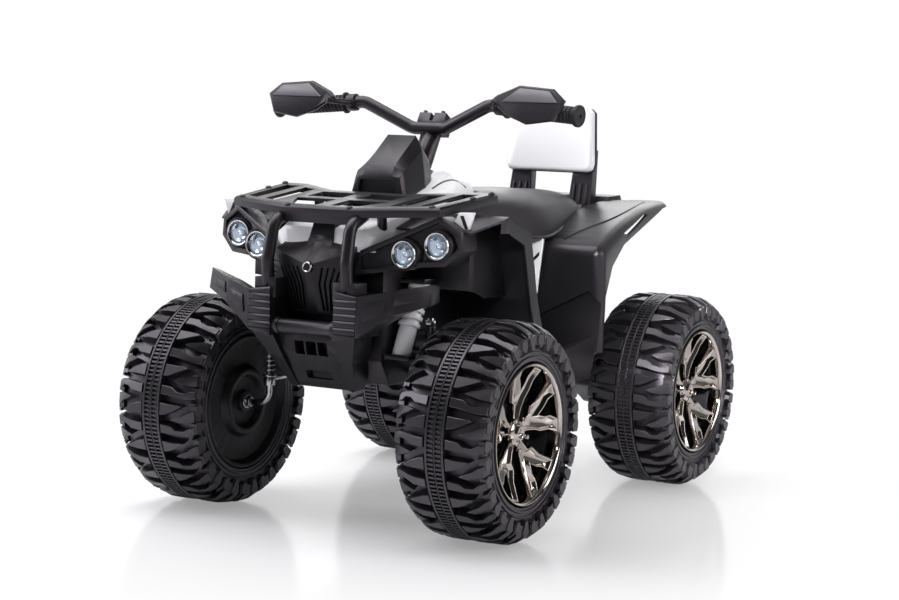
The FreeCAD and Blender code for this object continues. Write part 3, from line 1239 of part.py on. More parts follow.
def rear_fender():
    """A moulded shell: leaning front wall, sloping roof and outer flare, rounded into each other."""
    foot_back, foot_level = REAR_FOOT_SHARES
    foot = spot(0, foot_back, foot_level)
    brow, crown, tail = [spot(0, back, level) for back, level in REAR_ROOF_SHARES]
    drop = vec(0, tail.y, foot.z)
    runs = [Part.LineSegment(foot, brow), Part.Arc(brow, crown, tail), Part.LineSegment(tail, drop),
            Part.LineSegment(drop, foot)]
    profile = Part.Face(Part.Wire([run.toShape() for run in runs]))
    profile.translate(LEFT * TUB_HALF_WIDTH)
    outside = profile.extrude(LEFT * (FENDER_HALF - TUB_HALF_WIDTH)).common(plan_block(REAR_FENDER_PLAN_SHARES))
    edges = []
    for edge in outside.Edges:
        ends = edge.BoundBox
        beside_seat = ends.XMax < TUB_HALF_WIDTH + WALL
        meets_brow = abs(ends.YMin - brow.y) < RUN_GAP and ends.ZMax > brow.z - RUN_GAP
        if meets_brow and not beside_seat:
            edges.append(edge)
    outside = outside.makeFillet(REAR_FENDER_ROUND, edges)
    inside = outside.copy()
    inside.translate(vec(-REAR_FLARE_THICKNESS, REAR_FENDER_FRONT_WALL, -WALL))
    under = side_block(REAR_FLARE_UNDER_SHARES, TUB_HALF_WIDTH - OVERRUN, TRACK)
    window = side_block(REAR_FLARE_WINDOW_SHARES, TUB_HALF_WIDTH + REAR_FENDER_ROUND, TRACK)
    wall_face = spot(0, REAR_WALL_FACE_SHARE, 0)
    recess = prism([vec(x * FENDER_HALF, brow.y - OVERRUN, z * SEAT_HEIGHT) for x, z in REAR_WALL_SHARES],
                   vec(0, wall_face.y - brow.y + OVERRUN, 0))
    return one(outside.cut([inside, under, window, recess]))


def footboard():
    low = TUB_HALF_WIDTH
    high = FOOTBOARD_OUT_SHARE * FENDER_HALF
    shape = side_block(FOOTBOARD_SHARES, low, high)
    shape = shape.fuse(side_block(FOOT_RIM_SHARES, high - FOOT_RIM_WIDTH, high))
    front, top = FOOTBOARD_SHARES[0]
    back = FOOTBOARD_SHARES[1][0]
    corner = spot(0, front, top)
    end = spot(0, back, top)
    foot = FOOTBOARD_SHARES[3][1] * SEAT_HEIGHT
    hollow = box(vec(low + WALL, corner.y + WALL, foot - OVERRUN),
                 vec(high - WALL, end.y - WALL, corner.z - WALL))
    ribs = []
    pitch = (end.y - corner.y) / (FOOT_RIBS + 2)
    for index in range(FOOT_RIBS):
        y = end.y - pitch * (index + 1)
        ribs.append(box(vec(low + FOOT_RIM_WIDTH, y, corner.z - WALL / 2),
                        vec(high - 2 * FOOT_RIM_WIDTH, y + FOOT_RIB_WIDTH, corner.z + FOOT_RIB_RISE)))
    return one(shape.cut(hollow).fuse(ribs))


def tail_panel():
    half = TAIL_HALF_SHARE * FENDER_HALF
    return side_block(TAIL_SHARES, -half, half)


# Backrest
def leaned(shape):
    shape.rotate(spot(0, REST_BACK_SHARE, REST_PIVOT_SHARE), LEFT, -REST_LEAN_DEG)
    return shape


def rest_outline(set_back, inset):
    half = max(x for x, z in REST_SHARES) * FENDER_HALF
    middle = (REST_SHARES[0][1] + REST_SHARES[-1][1]) / 2
    shrink = 1 - inset / half
    right = [spot(x * shrink, REST_BACK_SHARE, middle + (z - middle) * shrink) for x, z in REST_SHARES]
    ring = right + [vec(-p.x, p.y, p.z) for p in right[::-1]]
    return [p + BACK * set_back for p in ring]


def backrest_pad():
    rings = [rest_outline(0, REST_EDGE), rest_outline(REST_EDGE, 0), rest_outline(REST_THICKNESS, 0)]
    return leaned(skin(rings))


def backrest_shell():
    front = REST_THICKNESS
    return leaned(skin([rest_outline(front, -REST_RIM), rest_outline(front + REST_SHELL, -REST_RIM)]))


def backrest_post():
    front = REST_THICKNESS + REST_SHELL
    sections = []
    for z, half in ((POST_BASE_SHARE, POST_FOOT_HALF), (POST_TOP_SHARE, POST_HEAD_HALF)):
        corner = spot(0, REST_BACK_SHARE, z) + BACK * front
        sections.append([corner + LEFT * (POST_X - half), corner + LEFT * (POST_X + half),
                         corner + LEFT * (POST_X + half) + BACK * POST_DEPTH,
                         corner + LEFT * (POST_X - half) + BACK * POST_DEPTH])
    return leaned(skin(sections))


def front_shock():
    low = spot(*SHOCK_LOW_SHARES)
    high = spot(*SHOCK_TOP_SHARES)
    along = (high - low).normalize()
    length = (high - low).Length
    start = low - along * SHOCK_RADIUS / 2
    shape = drum(SHOCK_RADIUS, start, high + along * SHOCK_RADIUS / 2)
    pitch = length * SHOCK_RIBBED_SHARE / SHOCK_RIBS
    ribs = []
    for index in range(SHOCK_RIBS):
        place = high - along * (pitch * (index + 1))
        ribs.append(drum(SHOCK_RIB_RADIUS, place, place + along * (pitch / 2)))
    return shape.fuse(ribs)


def pedal_axis():
    floor = FOOTBOARD_SHARES[0][1] * SEAT_HEIGHT
    return vec(PEDAL_X, FRONT_Y + PEDAL_BACK + PEDAL_LENGTH, floor + PEDAL_RISE)


def foot_pedal():
    pivot = pedal_axis()
    half = LEFT * PEDAL_HALF_WIDTH
    plate = box(pivot - half - BACK * PEDAL_LENGTH - UP * (PEDAL_THICKNESS / 2),
                pivot + half + UP * (PEDAL_THICKNESS / 2))
    plate.rotate(pivot, LEFT, -PEDAL_SLOPE_DEG)
    barrel = drum(PEDAL_BARREL, pivot - half, pivot + half)
    pin_half = half + LEFT * (PEDAL_BOX_WALL + CONTROL_GAP)
    pin = drum(PEDAL_PIN_RADIUS, pivot - pin_half, pivot + pin_half)
    return plate.fuse([barrel, pin])


def pedal_bracket():
    pivot = pedal_axis()
    floor = FOOTBOARD_SHARES[0][1] * SEAT_HEIGHT
    cheeks = []
    for side in (1, -1):
        near = pivot + LEFT * (side * (PEDAL_HALF_WIDTH + CONTROL_GAP))
        far = near + LEFT * (side * PEDAL_BOX_WALL)
        low_x = min(near.x, far.x)
        cheeks.append(box(vec(low_x, pivot.y - PEDAL_BARREL * 2, floor),
                          vec(low_x + PEDAL_BOX_WALL, pivot.y + PEDAL_BARREL * 2, pivot.z + PEDAL_BARREL)))
    reach = LEFT * (2 * PEDAL_HALF_WIDTH)
    hole = drum(PEDAL_PIN_RADIUS + RUN_GAP, pivot - reach, pivot + reach)
    return Part.makeCompound([cheek.cut(hole) for cheek in cheeks])


NODES = {}


def keep(name, shape):
    NODES[name] = shape


def keep_pair(name, shape):
    keep(name + "_left", shape)
    keep(name + "_right", mirrored(shape))


def keep_group(name, *shapes):
    """Matching pieces of both sides, each its own solid, under one name."""
    solids = [solid for shape in shapes for half in (shape, mirrored(shape)) for solid in half.Solids]
    keep(name, Part.makeCompound(solids))


tyre_shape = tyre()
rim_shape = rim()
front_core = wheel_core(ROD_RADIUS + RUN_GAP, CORE_HUB_IN)
rear_core = wheel_core(REAR_ROD_RADIUS + RUN_GAP, GEARBOX_OUT + FACE_GAP - WHEEL_X)
for place, axle_y, core_shape in (("front", FRONT_Y, front_core), ("rear", REAR_Y, rear_core)):
    for hand, side in (("left", 1), ("right", -1)):
        keep(place + "_tyre_" + hand, at_wheel(tyre_shape, side, axle_y))
        keep(place + "_rim_" + hand, at_wheel(rim_shape, side, axle_y))
        keep(place + "_wheel_core_" + hand, at_wheel(core_shape, side, axle_y))

keep_pair("stub_axle", stub_axle())
keep_pair("front_axle_nuts", Part.makeCompound(axle_nuts(FRONT_Y, ROD_RADIUS).Solids + kingpin_nut().Solids))
keep_pair("spring_seat", spring_seat())
keep_pair("kingpin_spring", coil(COLLAR_HIGH + SPRING_SEAT + 2 * FACE_GAP, SLEEVE_LOW - FACE_GAP))
beam_shape = front_crossmember()
keep("front_crossmember", beam_shape)
keep("tie_rod", tie_rod())
clamp_shape = handlebar_clamp()
bar_shape = handlebar()
keep("steering_shaft", one(steering_shaft().cut(bar_shape)))
keep("handlebar", bar_shape)
keep("handlebar_clamp", one(clamp_shape.cut(bar_shape)))
grip_shape = grip()
guard_shape = one(hand_guard().cut(grip_shape))
keep_group("grips", grip_shape)
keep_group("hand_guards", guard_shape)
keep_group("hand_guard_windows", guard_window(guard_shape))

tub_shape = lower_body()
tub_block = tub_outside()
rod_shape = rear_axle()
keep("lower_body", tub_shape)
keep("battery", battery())
keep("rear_axle", rod_shape)
keep("rear_axle_bracket", rear_axle_bracket(rod_shape))
keep_group("gearboxes", gearbox(rod_shape))
keep_group("drive_motors", motor())
keep_group("rear_axle_nuts", rear_lock_nut(rod_shape))

bumper_shape = bumper()
pin_shape = roller_pin()
leg_shape = one(bumper_leg().cut([bumper_shape, tub_block]))
hood_block = hood_body(0)
tank_block = crowned_body(TANK_SHARES, TANK_SIDE_SHARES, 0)
rack_shape = front_rack().cut([hood_block, tank_block])
post_shape = one(bull_bar_post().cut([bumper_shape, rack_shape, hood_block]))
winch_shape = winch_roller()
keep_group("bumpers", one(bumper_shape.cut(pin_shape)))
keep_group("bull_bar_posts", post_shape)
skid_shape = skid_plate().cut(tub_block).fuse([leg_shape, mirrored(leg_shape)]).removeSplitter()
keep("skid_plate", one(skid_shape.cut(winch_shape)))
keep("winch_roller", winch_shape)
bar_pair = [bumper_shape, mirrored(bumper_shape), post_shape, mirrored(post_shape)]
fascia_shape = one(fascia().cut([hood_block, tub_block, rack_shape] + bar_pair))
keep("front_fascia", fascia_shape)

shock_shape = one(front_shock().cut([tub_shape, beam_shape]))
fender_shape = one(front_fender().cut([tub_shape, hood_block, tank_block, shock_shape]))
housing_shape = headlight_housing().cut([tub_block, hood_block, fender_shape, post_shape])
housing_shape = one(housing_shape.cut([bumper_shape, rack_shape, fascia_shape]))
keep_group("headlight_housings", housing_shape)
keep_group("headlight_bezels", headlight_bezels())
keep_group("headlight_lenses", headlight_lenses())
keep_pair("front_fender", fender_shape)
keep("upper_shell", one(hood().fuse(tank_cover(tank_block)).removeSplitter()))
keep("front_rack", one(rack_shape))
cowl_shape = steering_cowl().cut([tank_block, rack_shape, hood_block])
cowl_shape = one(cowl_shape.cut([button_pocket(), switch_pocket()]))
keep("steering_cowl", cowl_shape)
keep("power_button", power_button())
keep("direction_switch", direction_switch())

seat_shape = one(crowned_body(SEAT_SHARES, SEAT_SIDE_SHARES, 0).cut([tub_block, tank_block]))
rear_shape = one(rear_fender().cut(seat_shape))
tail_shape = one(tail_panel().cut([seat_shape, rear_shape, mirrored(rear_shape)]))
keep("seat", seat_shape)
keep_pair("rear_fender", rear_shape)
accent_shape = one(front_accent().cut([fender_shape, rack_shape, housing_shape]))
keep_group("side_trims", accent_shape, one(knee_trim().cut([tub_block, rear_shape, seat_shape])))
foot_shape = one(footboard().cut(rear_shape))
right_foot = one(mirrored(foot_shape).fuse(pedal_bracket().Solids))
keep("footboards", Part.makeCompound([foot_shape, right_foot]))
keep("tail_panel", tail_shape)
keep("backrest_pad", backrest_pad())
stand_shape = one(backrest_post().cut([tail_shape, seat_shape]))
keep("backrest_frame", one(backrest_shell().fuse([stand_shape, mirrored(stand_shape)]).removeSplitter()))
keep_group("front_shocks", shock_shape)
keep("foot_pedal", foot_pedal())

for name, shape in NODES.items():
    shape.exportStep("parts/" + name + ".step")
    print(name, len(shape.Solids), shape.isValid(), round(shape.Volume / 1000, 1))
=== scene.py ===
import json
import math

import bpy
from mathutils import Matrix, Vector


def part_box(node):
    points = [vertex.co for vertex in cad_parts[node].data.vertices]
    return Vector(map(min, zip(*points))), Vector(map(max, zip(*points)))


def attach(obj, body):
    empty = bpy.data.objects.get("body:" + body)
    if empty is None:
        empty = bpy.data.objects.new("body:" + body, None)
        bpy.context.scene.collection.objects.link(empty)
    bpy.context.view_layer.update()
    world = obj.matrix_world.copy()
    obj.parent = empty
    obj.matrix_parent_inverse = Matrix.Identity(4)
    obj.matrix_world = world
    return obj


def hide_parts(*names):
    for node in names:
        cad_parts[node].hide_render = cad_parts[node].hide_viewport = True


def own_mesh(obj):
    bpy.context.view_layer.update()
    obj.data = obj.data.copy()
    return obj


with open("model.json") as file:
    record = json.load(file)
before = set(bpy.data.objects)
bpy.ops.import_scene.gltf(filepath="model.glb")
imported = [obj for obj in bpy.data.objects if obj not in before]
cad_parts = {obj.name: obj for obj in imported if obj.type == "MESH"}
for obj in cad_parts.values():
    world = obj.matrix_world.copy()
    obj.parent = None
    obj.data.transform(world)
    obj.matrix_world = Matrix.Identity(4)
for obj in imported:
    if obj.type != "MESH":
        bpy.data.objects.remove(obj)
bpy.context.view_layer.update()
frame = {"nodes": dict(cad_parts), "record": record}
nodes = frame["nodes"]
scene = bpy.context.scene

# Sizes taken over from the solids, in metres
FRONT_Y = -0.3825
REAR_Y = 0.3825
WHEEL_X = 0.303
AXLE_Z = 0.200
TYRE_R = 0.200
LUGS = 17
SPOKES = 5
KINGPIN_X = 0.175
GRIP_IN = Vector((0.1793, -0.1279, 0.7758))
GRIP_OUT = Vector((0.3400, -0.1379, 0.7628))
BOSS_FACE = Vector((0.0, -0.5277, 0.4789))
REST_POST_X = 0.074
REST_POST_LOW = 0.570
REST_POST_FRONT = 0.4142
REST_POST_RAKE = math.radians(9.0)
SEAT_EDGE = ((0.1119, -0.1323, 0.5471), (0.1320, -0.0528, 0.5313), (0.1521, 0.0375, 0.5203),
             (0.1581, 0.1178, 0.5178), (0.1419, 0.2173, 0.5392), (0.1239, 0.3075, 0.5612),
             (0.1080, 0.3496, 0.5750))
RACK_TILT = math.radians(7.2)
RACK_FRONT_Y = -0.5018
RACK_FRONT_Z = 0.5862
NOSE_FACE = -0.4077
KNEE_FACE = 0.0796

# Sides of the vehicle as the rider sees them
SIDES = (("left", 1), ("right", -1))

# Distance under which neighbouring points become one
MERGE = 0.00002


# Modelling helpers
def clear_pick():
    if bpy.context.object and bpy.context.object.mode != "OBJECT":
        bpy.ops.object.mode_set(mode="OBJECT")
    bpy.ops.object.select_all(action="DESELECT")


def pick(obj):
    clear_pick()
    obj.select_set(True)
    bpy.context.view_layer.objects.active = obj


def edit_all(obj):
    """Opens a mesh for editing with all of it selected."""
    pick(obj)
    bpy.ops.object.mode_set(mode="EDIT")
    bpy.ops.mesh.select_all(action="SELECT")


def leave_edit():
    bpy.ops.object.mode_set(mode="OBJECT")


def face_out(obj):
    edit_all(obj)
    bpy.ops.mesh.normals_make_consistent(inside=False)
    leave_edit()


def loop_of(name, points, filled=False):
    """A ring of vertices laid on the given points, as a start for extruding or spinning."""
    clear_pick()
    fill = "NGON" if filled else "NOTHING"
    bpy.ops.mesh.primitive_circle_add(vertices=len(points), radius=0.01, fill_type=fill)
    ring = bpy.context.object
    ring.name = name
    for vert, point in zip(ring.data.vertices, points):
        vert.co = point
    return ring


def slab(name, foot, top):
    """A closed block from a foot outline and a top outline with as many points."""
    block = loop_of(name, foot, True)
    edit_all(block)
    bpy.ops.mesh.extrude_region_move()
    leave_edit()
    for vert, point in zip(block.data.vertices[len(foot):], top):
        vert.co = point
    face_out(block)
    return block


def turned(name, outline, steps):
    """A closed outline of (along, radius) pairs spun once round the X axis, then merged."""
    ring = loop_of(name, [Vector((along, 0, radius)) for along, radius in outline])
    edit_all(ring)
    bpy.ops.mesh.spin(steps=steps, angle=2 * math.pi, center=(0, 0, 0), axis=(1, 0, 0))
    bpy.ops.mesh.select_all(action="SELECT")
    bpy.ops.mesh.remove_doubles(threshold=MERGE)
    leave_edit()
    face_out(ring)
    return ring


def use(obj, kind, **values):
    """Adds a modifier and applies it."""
    pick(obj)
    mod = obj.modifiers.new(kind.lower(), kind)
    for key, value in values.items():
        setattr(mod, key, value)
    bpy.ops.object.modifier_apply(modifier=mod.name)
    return obj


def round_edges(obj, width, segments=2, angle=30):
    return use(obj, "BEVEL", width=width, segments=segments, limit_method="ANGLE",
               angle_limit=math.radians(angle))


def ring_of(obj, count):
    """Repeats a piece round the X axis and keeps the result in its mesh."""
    clear_pick()
    bpy.ops.object.empty_add()
    helper = bpy.context.object
    helper.rotation_euler = (2 * math.pi / count, 0, 0)
    bpy.context.view_layer.update()
    use(obj, "ARRAY", count=count, use_relative_offset=False, use_object_offset=True, offset_object=helper)
    bpy.data.objects.remove(helper)
    return obj


def joined(name, pieces):
    clear_pick()
    for piece in pieces:
        piece.select_set(True)
    bpy.context.view_layer.objects.active = pieces[0]
    bpy.ops.object.join()
    pieces[0].name = name
    return pieces[0]


def settle(obj, place):
    """Moves a piece by a matrix that ends up in its mesh."""
    pick(obj)
    obj.matrix_world = place
    bpy.ops.object.transform_apply(location=True, rotation=True, scale=True)
    return obj


def copied(obj, name, place):
    """A copy with its own mesh, settled in its place."""
    pick(obj)
    bpy.ops.object.duplicate()
    twin = bpy.context.object
    twin.name = name
    return settle(twin, place)


def smooth(obj, angle=32):
    pick(obj)
    bpy.ops.object.shade_smooth_by_angle(angle=math.radians(angle))
    return obj


def along_line(start, end):
    """Maps the X axis onto the line from start to end."""
    turn = (end - start).to_track_quat("X", "Z").to_matrix().to_4x4()
    return Matrix.Translation(start) @ turn


def on_ring(x, radius, turn):
    """A point beside the X axis at a radius, turned from straight up."""
    return Vector((x, radius * math.sin(turn), radius * math.cos(turn)))


def dress(obj, material, body, slot, *replaced):
    obj.data.materials.clear()
    obj.data.materials.append(material)
    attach(obj, body)
    if replaced:
        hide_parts(*replaced)
    return obj


# Shader groups shared by the finishes
def add_node(tree, kind, values=None, **settings):
    """A shader node with its settings, and with values on its inputs."""
    node = tree.nodes.new(kind)
    for key, value in settings.items():
        setattr(node, key, value)
    for socket, value in (values or {}).items():
        node.inputs[socket].default_value = value
    return node


def map_range(tree, source, result, **settings):
    """A node that maps one span of numbers onto another."""
    return add_node(tree, "ShaderNodeMapRange", {"From Min": source[0], "From Max": source[1],
                                                 "To Min": result[0], "To Max": result[1]}, **settings)


def new_group(name, inputs, outputs):
    """A group whose inputs and outputs are all plain numbers."""
    tree = bpy.data.node_groups.new(name, "ShaderNodeTree")
    for label, value in inputs:
        socket = tree.interface.new_socket(label, in_out="INPUT", socket_type="NodeSocketFloat")
        socket.default_value = value
    for label in outputs:
        tree.interface.new_socket(label, in_out="OUTPUT", socket_type="NodeSocketFloat")
    return tree, tree.nodes.new("NodeGroupInput"), tree.nodes.new("NodeGroupOutput")


def grain_group():
    """Fine moulding grain for the bump and a slow mottle for gloss and shade."""
    tree, start, end = new_group("moulding_grain", [("Grain Size", 900.0), ("Mottle Size", 9.0)],
                                 ["Height", "Mottle"])
    place = add_node(tree, "ShaderNodeTexCoord")
    fine = add_node(tree, "ShaderNodeTexNoise", {"Detail": 3.0})
    slow = add_node(tree, "ShaderNodeTexNoise", {"Detail": 4.0})
    links = tree.links
    links.new(place.outputs["Object"], fine.inputs["Vector"])
    links.new(place.outputs["Object"], slow.inputs["Vector"])
    links.new(start.outputs["Grain Size"], fine.inputs["Scale"])
    links.new(start.outputs["Mottle Size"], slow.inputs["Scale"])
    links.new(fine.outputs["Fac"], end.inputs["Height"])
    links.new(slow.outputs["Fac"], end.inputs["Mottle"])
    return tree


def hide_group():
    """Leather cells for the seat cover."""
    tree, start, end = new_group("hide_cells", [("Cell Size", 420.0)], ["Height"])
    place = add_node(tree, "ShaderNodeTexCoord")
    cells = add_node(tree, "ShaderNodeTexVoronoi", feature="DISTANCE_TO_EDGE")
    level = map_range(tree, (0.0, 0.25), (0.0, 1.0))
    links = tree.links
    links.new(place.outputs["Object"], cells.inputs["Vector"])
    links.new(start.outputs["Cell Size"], cells.inputs["Scale"])
    links.new(cells.outputs["Distance"], level.inputs["Value"])
    links.new(level.outputs["Result"], end.inputs["Height"])
    return tree


GRAIN = grain_group()
HIDE = hide_group()
MOTTLE_SPAN = (0.3, 0.7)
BUMP_HEIGHT = 0.0006
COAT_ROUGH = 0.08
MIX_FACTOR, MIX_FIRST, MIX_SECOND, MIX_RESULT = 0, 6, 7, 2


def new_material(name):
    mat = bpy.data.materials.new(name)
    mat.use_nodes = True
    return mat, mat.node_tree, mat.node_tree.nodes["Principled BSDF"]


def finish_of(name, colour, shade, rough, grain, mottle, metal=0.0, coat=0.0, specular=0.5, cells=None,
              tint=None):
    """Two close colours and a gloss span by the mottle, and a bump by the grain or the leather cells.

    rough is a middle and a span to each side, grain is a size and a bump strength.
    """
    mat, tree, shader = new_material(name)
    shader.inputs["Metallic"].default_value = metal
    shader.inputs["Specular IOR Level"].default_value = specular
    if tint:
        shader.inputs["Specular Tint"].default_value = (*tint, 1)
    if coat:
        shader.inputs["Coat Weight"].default_value = coat
        shader.inputs["Coat Roughness"].default_value = COAT_ROUGH
    surface = add_node(tree, "ShaderNodeGroup", {"Grain Size": grain[0], "Mottle Size": mottle},
                       node_tree=GRAIN)
    blend = add_node(tree, "ShaderNodeMix", {MIX_FIRST: (*colour, 1), MIX_SECOND: (*shade, 1)},
                     data_type="RGBA")
    gloss = map_range(tree, MOTTLE_SPAN, (rough[0] - rough[1], rough[0] + rough[1]))
    bump = add_node(tree, "ShaderNodeBump", {"Strength": grain[1], "Distance": BUMP_HEIGHT})
    relief = surface
    if cells:
        relief = add_node(tree, "ShaderNodeGroup", {"Cell Size": cells}, node_tree=HIDE)
    links = tree.links
    links.new(surface.outputs["Mottle"], blend.inputs[MIX_FACTOR])
    links.new(blend.outputs[MIX_RESULT], shader.inputs["Base Color"])
    links.new(surface.outputs["Mottle"], gloss.inputs["Value"])
    links.new(gloss.outputs["Result"], shader.inputs["Roughness"])
    links.new(relief.outputs["Height"], bump.inputs["Height"])
    links.new(bump.outputs["Normal"], shader.inputs["Normal"])
    return mat


def lens_finish():
    mat, tree, shader = new_material("lens_clear")
    shader.inputs["Base Color"].default_value = (0.90, 0.95, 1.0, 1)
    shader.inputs["Transmission Weight"].default_value = 1.0
    shader.inputs["IOR"].default_value = 1.42
    surface = add_node(tree, "ShaderNodeGroup", {"Grain Size": 300.0}, node_tree=GRAIN)
    gloss = map_range(tree, (0.0, 1.0), (0.0, 0.06))
    tree.links.new(surface.outputs["Mottle"], gloss.inputs["Value"])
    tree.links.new(gloss.outputs["Result"], shader.inputs["Roughness"])
    return mat


# Blacks reflect a little violet, as in the photograph
BLACK_TINT = (0.96, 0.89, 1.0)
BODY_BLACK = finish_of("body_black", (0.0075, 0.0070, 0.0082), (0.0105, 0.0098, 0.0112),
                       rough=(0.36, 0.05), grain=(1400, 0.20), mottle=7, specular=0.46, tint=BLACK_TINT)
# Painted shade: the body's own black plastic, made darker and less glossy, for the front-facing skid plate
# and fascia
FRONT_PAINTED_SHADE_BLACK = finish_of("front_painted_shade_black", (0.0065, 0.0060, 0.0072), (0.0095, 0.0088, 0.0102),
                        rough=(0.32, 0.05), grain=(1400, 0.20), mottle=7, specular=0.24, tint=BLACK_TINT)
FRAME_BLACK = finish_of("frame_black", (0.006, 0.006, 0.0065), (0.009, 0.0085, 0.0095),
                        rough=(0.32, 0.05), grain=(1100, 0.12), mottle=12, specular=0.50, tint=BLACK_TINT)
TYRE_BLACK = finish_of("tyre_black", (0.0070, 0.0066, 0.0078), (0.0110, 0.0104, 0.0118),
                       rough=(0.36, 0.06), grain=(1200, 0.22), mottle=14, specular=0.80, tint=BLACK_TINT)
CORE_BLACK = finish_of("core_black", (0.006, 0.006, 0.0066), (0.009, 0.0085, 0.0095),
                       rough=(0.40, 0.05), grain=(1200, 0.18), mottle=8, specular=0.30, tint=BLACK_TINT)
GRIP_RUBBER = finish_of("grip_rubber", (0.007, 0.007, 0.0076), (0.010, 0.0096, 0.0106),
                        rough=(0.55, 0.05), grain=(1500, 0.25), mottle=16, specular=0.40, tint=BLACK_TINT)
SHELL_WHITE = finish_of("shell_white", (0.80, 0.80, 0.82), (0.84, 0.84, 0.86),
                        rough=(0.24, 0.03), grain=(900, 0.03), mottle=5, coat=0.25)
WINDOW_GREY = finish_of("window_grey", (0.115, 0.110, 0.120), (0.140, 0.135, 0.146),
                        rough=(0.34, 0.05), grain=(1200, 0.12), mottle=9, specular=0.50, tint=BLACK_TINT)
SEAT_BLACK = finish_of("seat_black", (0.0085, 0.0080, 0.0092), (0.0125, 0.0118, 0.0132),
                       rough=(0.42, 0.06), grain=(900, 0.16), mottle=10, specular=0.70, cells=520.0,
                       tint=BLACK_TINT)
RIM_BRONZE = finish_of("rim_bronze", (0.50, 0.455, 0.425), (0.56, 0.510, 0.480),
                       rough=(0.06, 0.02), grain=(400, 0.01), mottle=14, metal=1.0)
BEZEL_CHROME = finish_of("bezel_chrome", (0.66, 0.67, 0.69), (0.74, 0.75, 0.77),
                         rough=(0.08, 0.02), grain=(400, 0.01), mottle=14, metal=1.0)
BRIGHT_STEEL = finish_of("bright_steel", (0.38, 0.38, 0.40), (0.48, 0.48, 0.50),
                         rough=(0.26, 0.06), grain=(1600, 0.08), mottle=20, metal=1.0)
MOTOR_CAN = finish_of("motor_can", (0.40, 0.40, 0.42), (0.50, 0.50, 0.52),
                      rough=(0.32, 0.06), grain=(1600, 0.08), mottle=20, metal=1.0)
BUTTON_RED = finish_of("button_red", (0.50, 0.03, 0.02), (0.56, 0.04, 0.03),
                       rough=(0.28, 0.04), grain=(900, 0.04), mottle=12)
BATTERY_CASE = finish_of("battery_case", (0.03, 0.03, 0.033), (0.045, 0.045, 0.048),
                         rough=(0.5, 0.05), grain=(1000, 0.12), mottle=8)
REFLECTOR = finish_of("lamp_reflector", (0.42, 0.45, 0.52), (0.56, 0.58, 0.63),
                      rough=(0.18, 0.05), grain=(500, 0.05), mottle=60, metal=1.0)
LENS_CLEAR = lens_finish()

# Tyre, modelled once about the X axis with its outer side toward +X
TYRE_STEPS = 112
CROWN_FLAT, CROWN_SHOULDER, CROWN_DROP, CROWN_INSET = 0.046, 0.044, 0.0200, 0.0006
CARCASS = ((0.070, 0.1285), (0.0770, 0.1290), (0.0798, 0.1308), (0.0800, 0.1345), (0.0824, 0.1358),
           (0.0826, 0.1388), (0.0800, 0.1402), (0.0800, 0.1440), (0.0822, 0.1452), (0.0824, 0.1472),
           (0.0798, 0.1486), (0.0806, 0.1600), (0.0796, 0.1680), (0.0762, 0.1738), (0.0700, 0.1772),
           (0.0550, 0.1792), (0.0350, 0.1800), (0.0120, 0.1804))
# Rails and rungs of the centre band
RAILS = ((0.0142, 0.0188, 0.1990), (-0.0013, 0.0013, 0.1982), (-0.0188, -0.0142, 0.1990))
RAIL_FOOT, RAIL_EDGE_X, RAIL_EDGE_R = 0.179, 0.0008, 0.001
BAND_FLOOR = ((-0.0145, 0.1790), (-0.0145, 0.1932), (0.0145, 0.1932), (0.0145, 0.1790))
RUNGS = 150
RUNG_SPANS = ((0.0022, 0.0134), (-0.0134, -0.0022))
RUNG_HALF, RUNG_TAPER, RUNG_FOOT, RUNG_TOP = 0.0022, 0.8, 0.190, 0.1980
# Tread blocks: name, how far the top lies under the crown, outline as (across, along) points
TREAD = (("long_lug", 0.0, ((0.0200, -0.0270), (0.0400, -0.0290), (0.0560, -0.0330), (0.0740, -0.0355),
                            (0.0878, -0.0330), (0.0886, -0.0135), (0.0790, -0.0150), (0.0700, -0.0215),
                            (0.0560, -0.0190), (0.0460, -0.0100), (0.0200, -0.0065))),
         ("dart", 0.0006, ((0.0200, 0.0050), (0.0330, 0.0075), (0.0480, 0.0150), (0.0690, 0.0288),
                           (0.0600, 0.0302), (0.0420, 0.0312), (0.0200, 0.0335))),
         ("tooth", 0.0006, ((0.0450, -0.0010), (0.0600, -0.0060), (0.0740, -0.0080), (0.0882, -0.0060),
                            (0.0886, 0.0225), (0.0800, 0.0195), (0.0690, 0.0110), (0.0570, 0.0060))),
         ("nub", 0.002, ((0.0770, 0.0275), (0.0884, 0.0285), (0.0886, 0.0350), (0.0790, 0.0345))))
LUG_FOOT, LUG_TAPER_ACROSS, LUG_TAPER_ALONG, LUG_EDGE = 0.021, 0.955, 0.80, 0.0009
# Sidewall blocks as (along, radius) points
SIDE_BLOCKS = (((-0.0355, 0.1740), (-0.0310, 0.1812), (-0.0060, 0.1812), (-0.0010, 0.1720),
                (-0.0060, 0.1610), (-0.0110, 0.1490), (-0.0255, 0.1490), (-0.0300, 0.1620)),
               ((0.0020, 0.1640), (0.0060, 0.1795), (0.0310, 0.1795), (0.0350, 0.1700),
                (0.0310, 0.1560), (0.0180, 0.1515)))
SIDE_DEEP, SIDE_PROUD, SIDE_TAPER_ALONG, SIDE_TAPER_RADIUS = 0.0770, 0.0896, 0.74, 0.80


def crown(x):
    """Radius of the lug tops across the tread."""
    away = max(0.0, abs(x) - CROWN_FLAT) / CROWN_SHOULDER
    return TYRE_R - CROWN_INSET - CROWN_DROP * away * away


def wrapped(x, along, radius):
    return on_ring(x, radius, along / TYRE_R)


def middle_of(outline):
    return [sum(point[axis] for point in outline) / len(outline) for axis in (0, 1)]


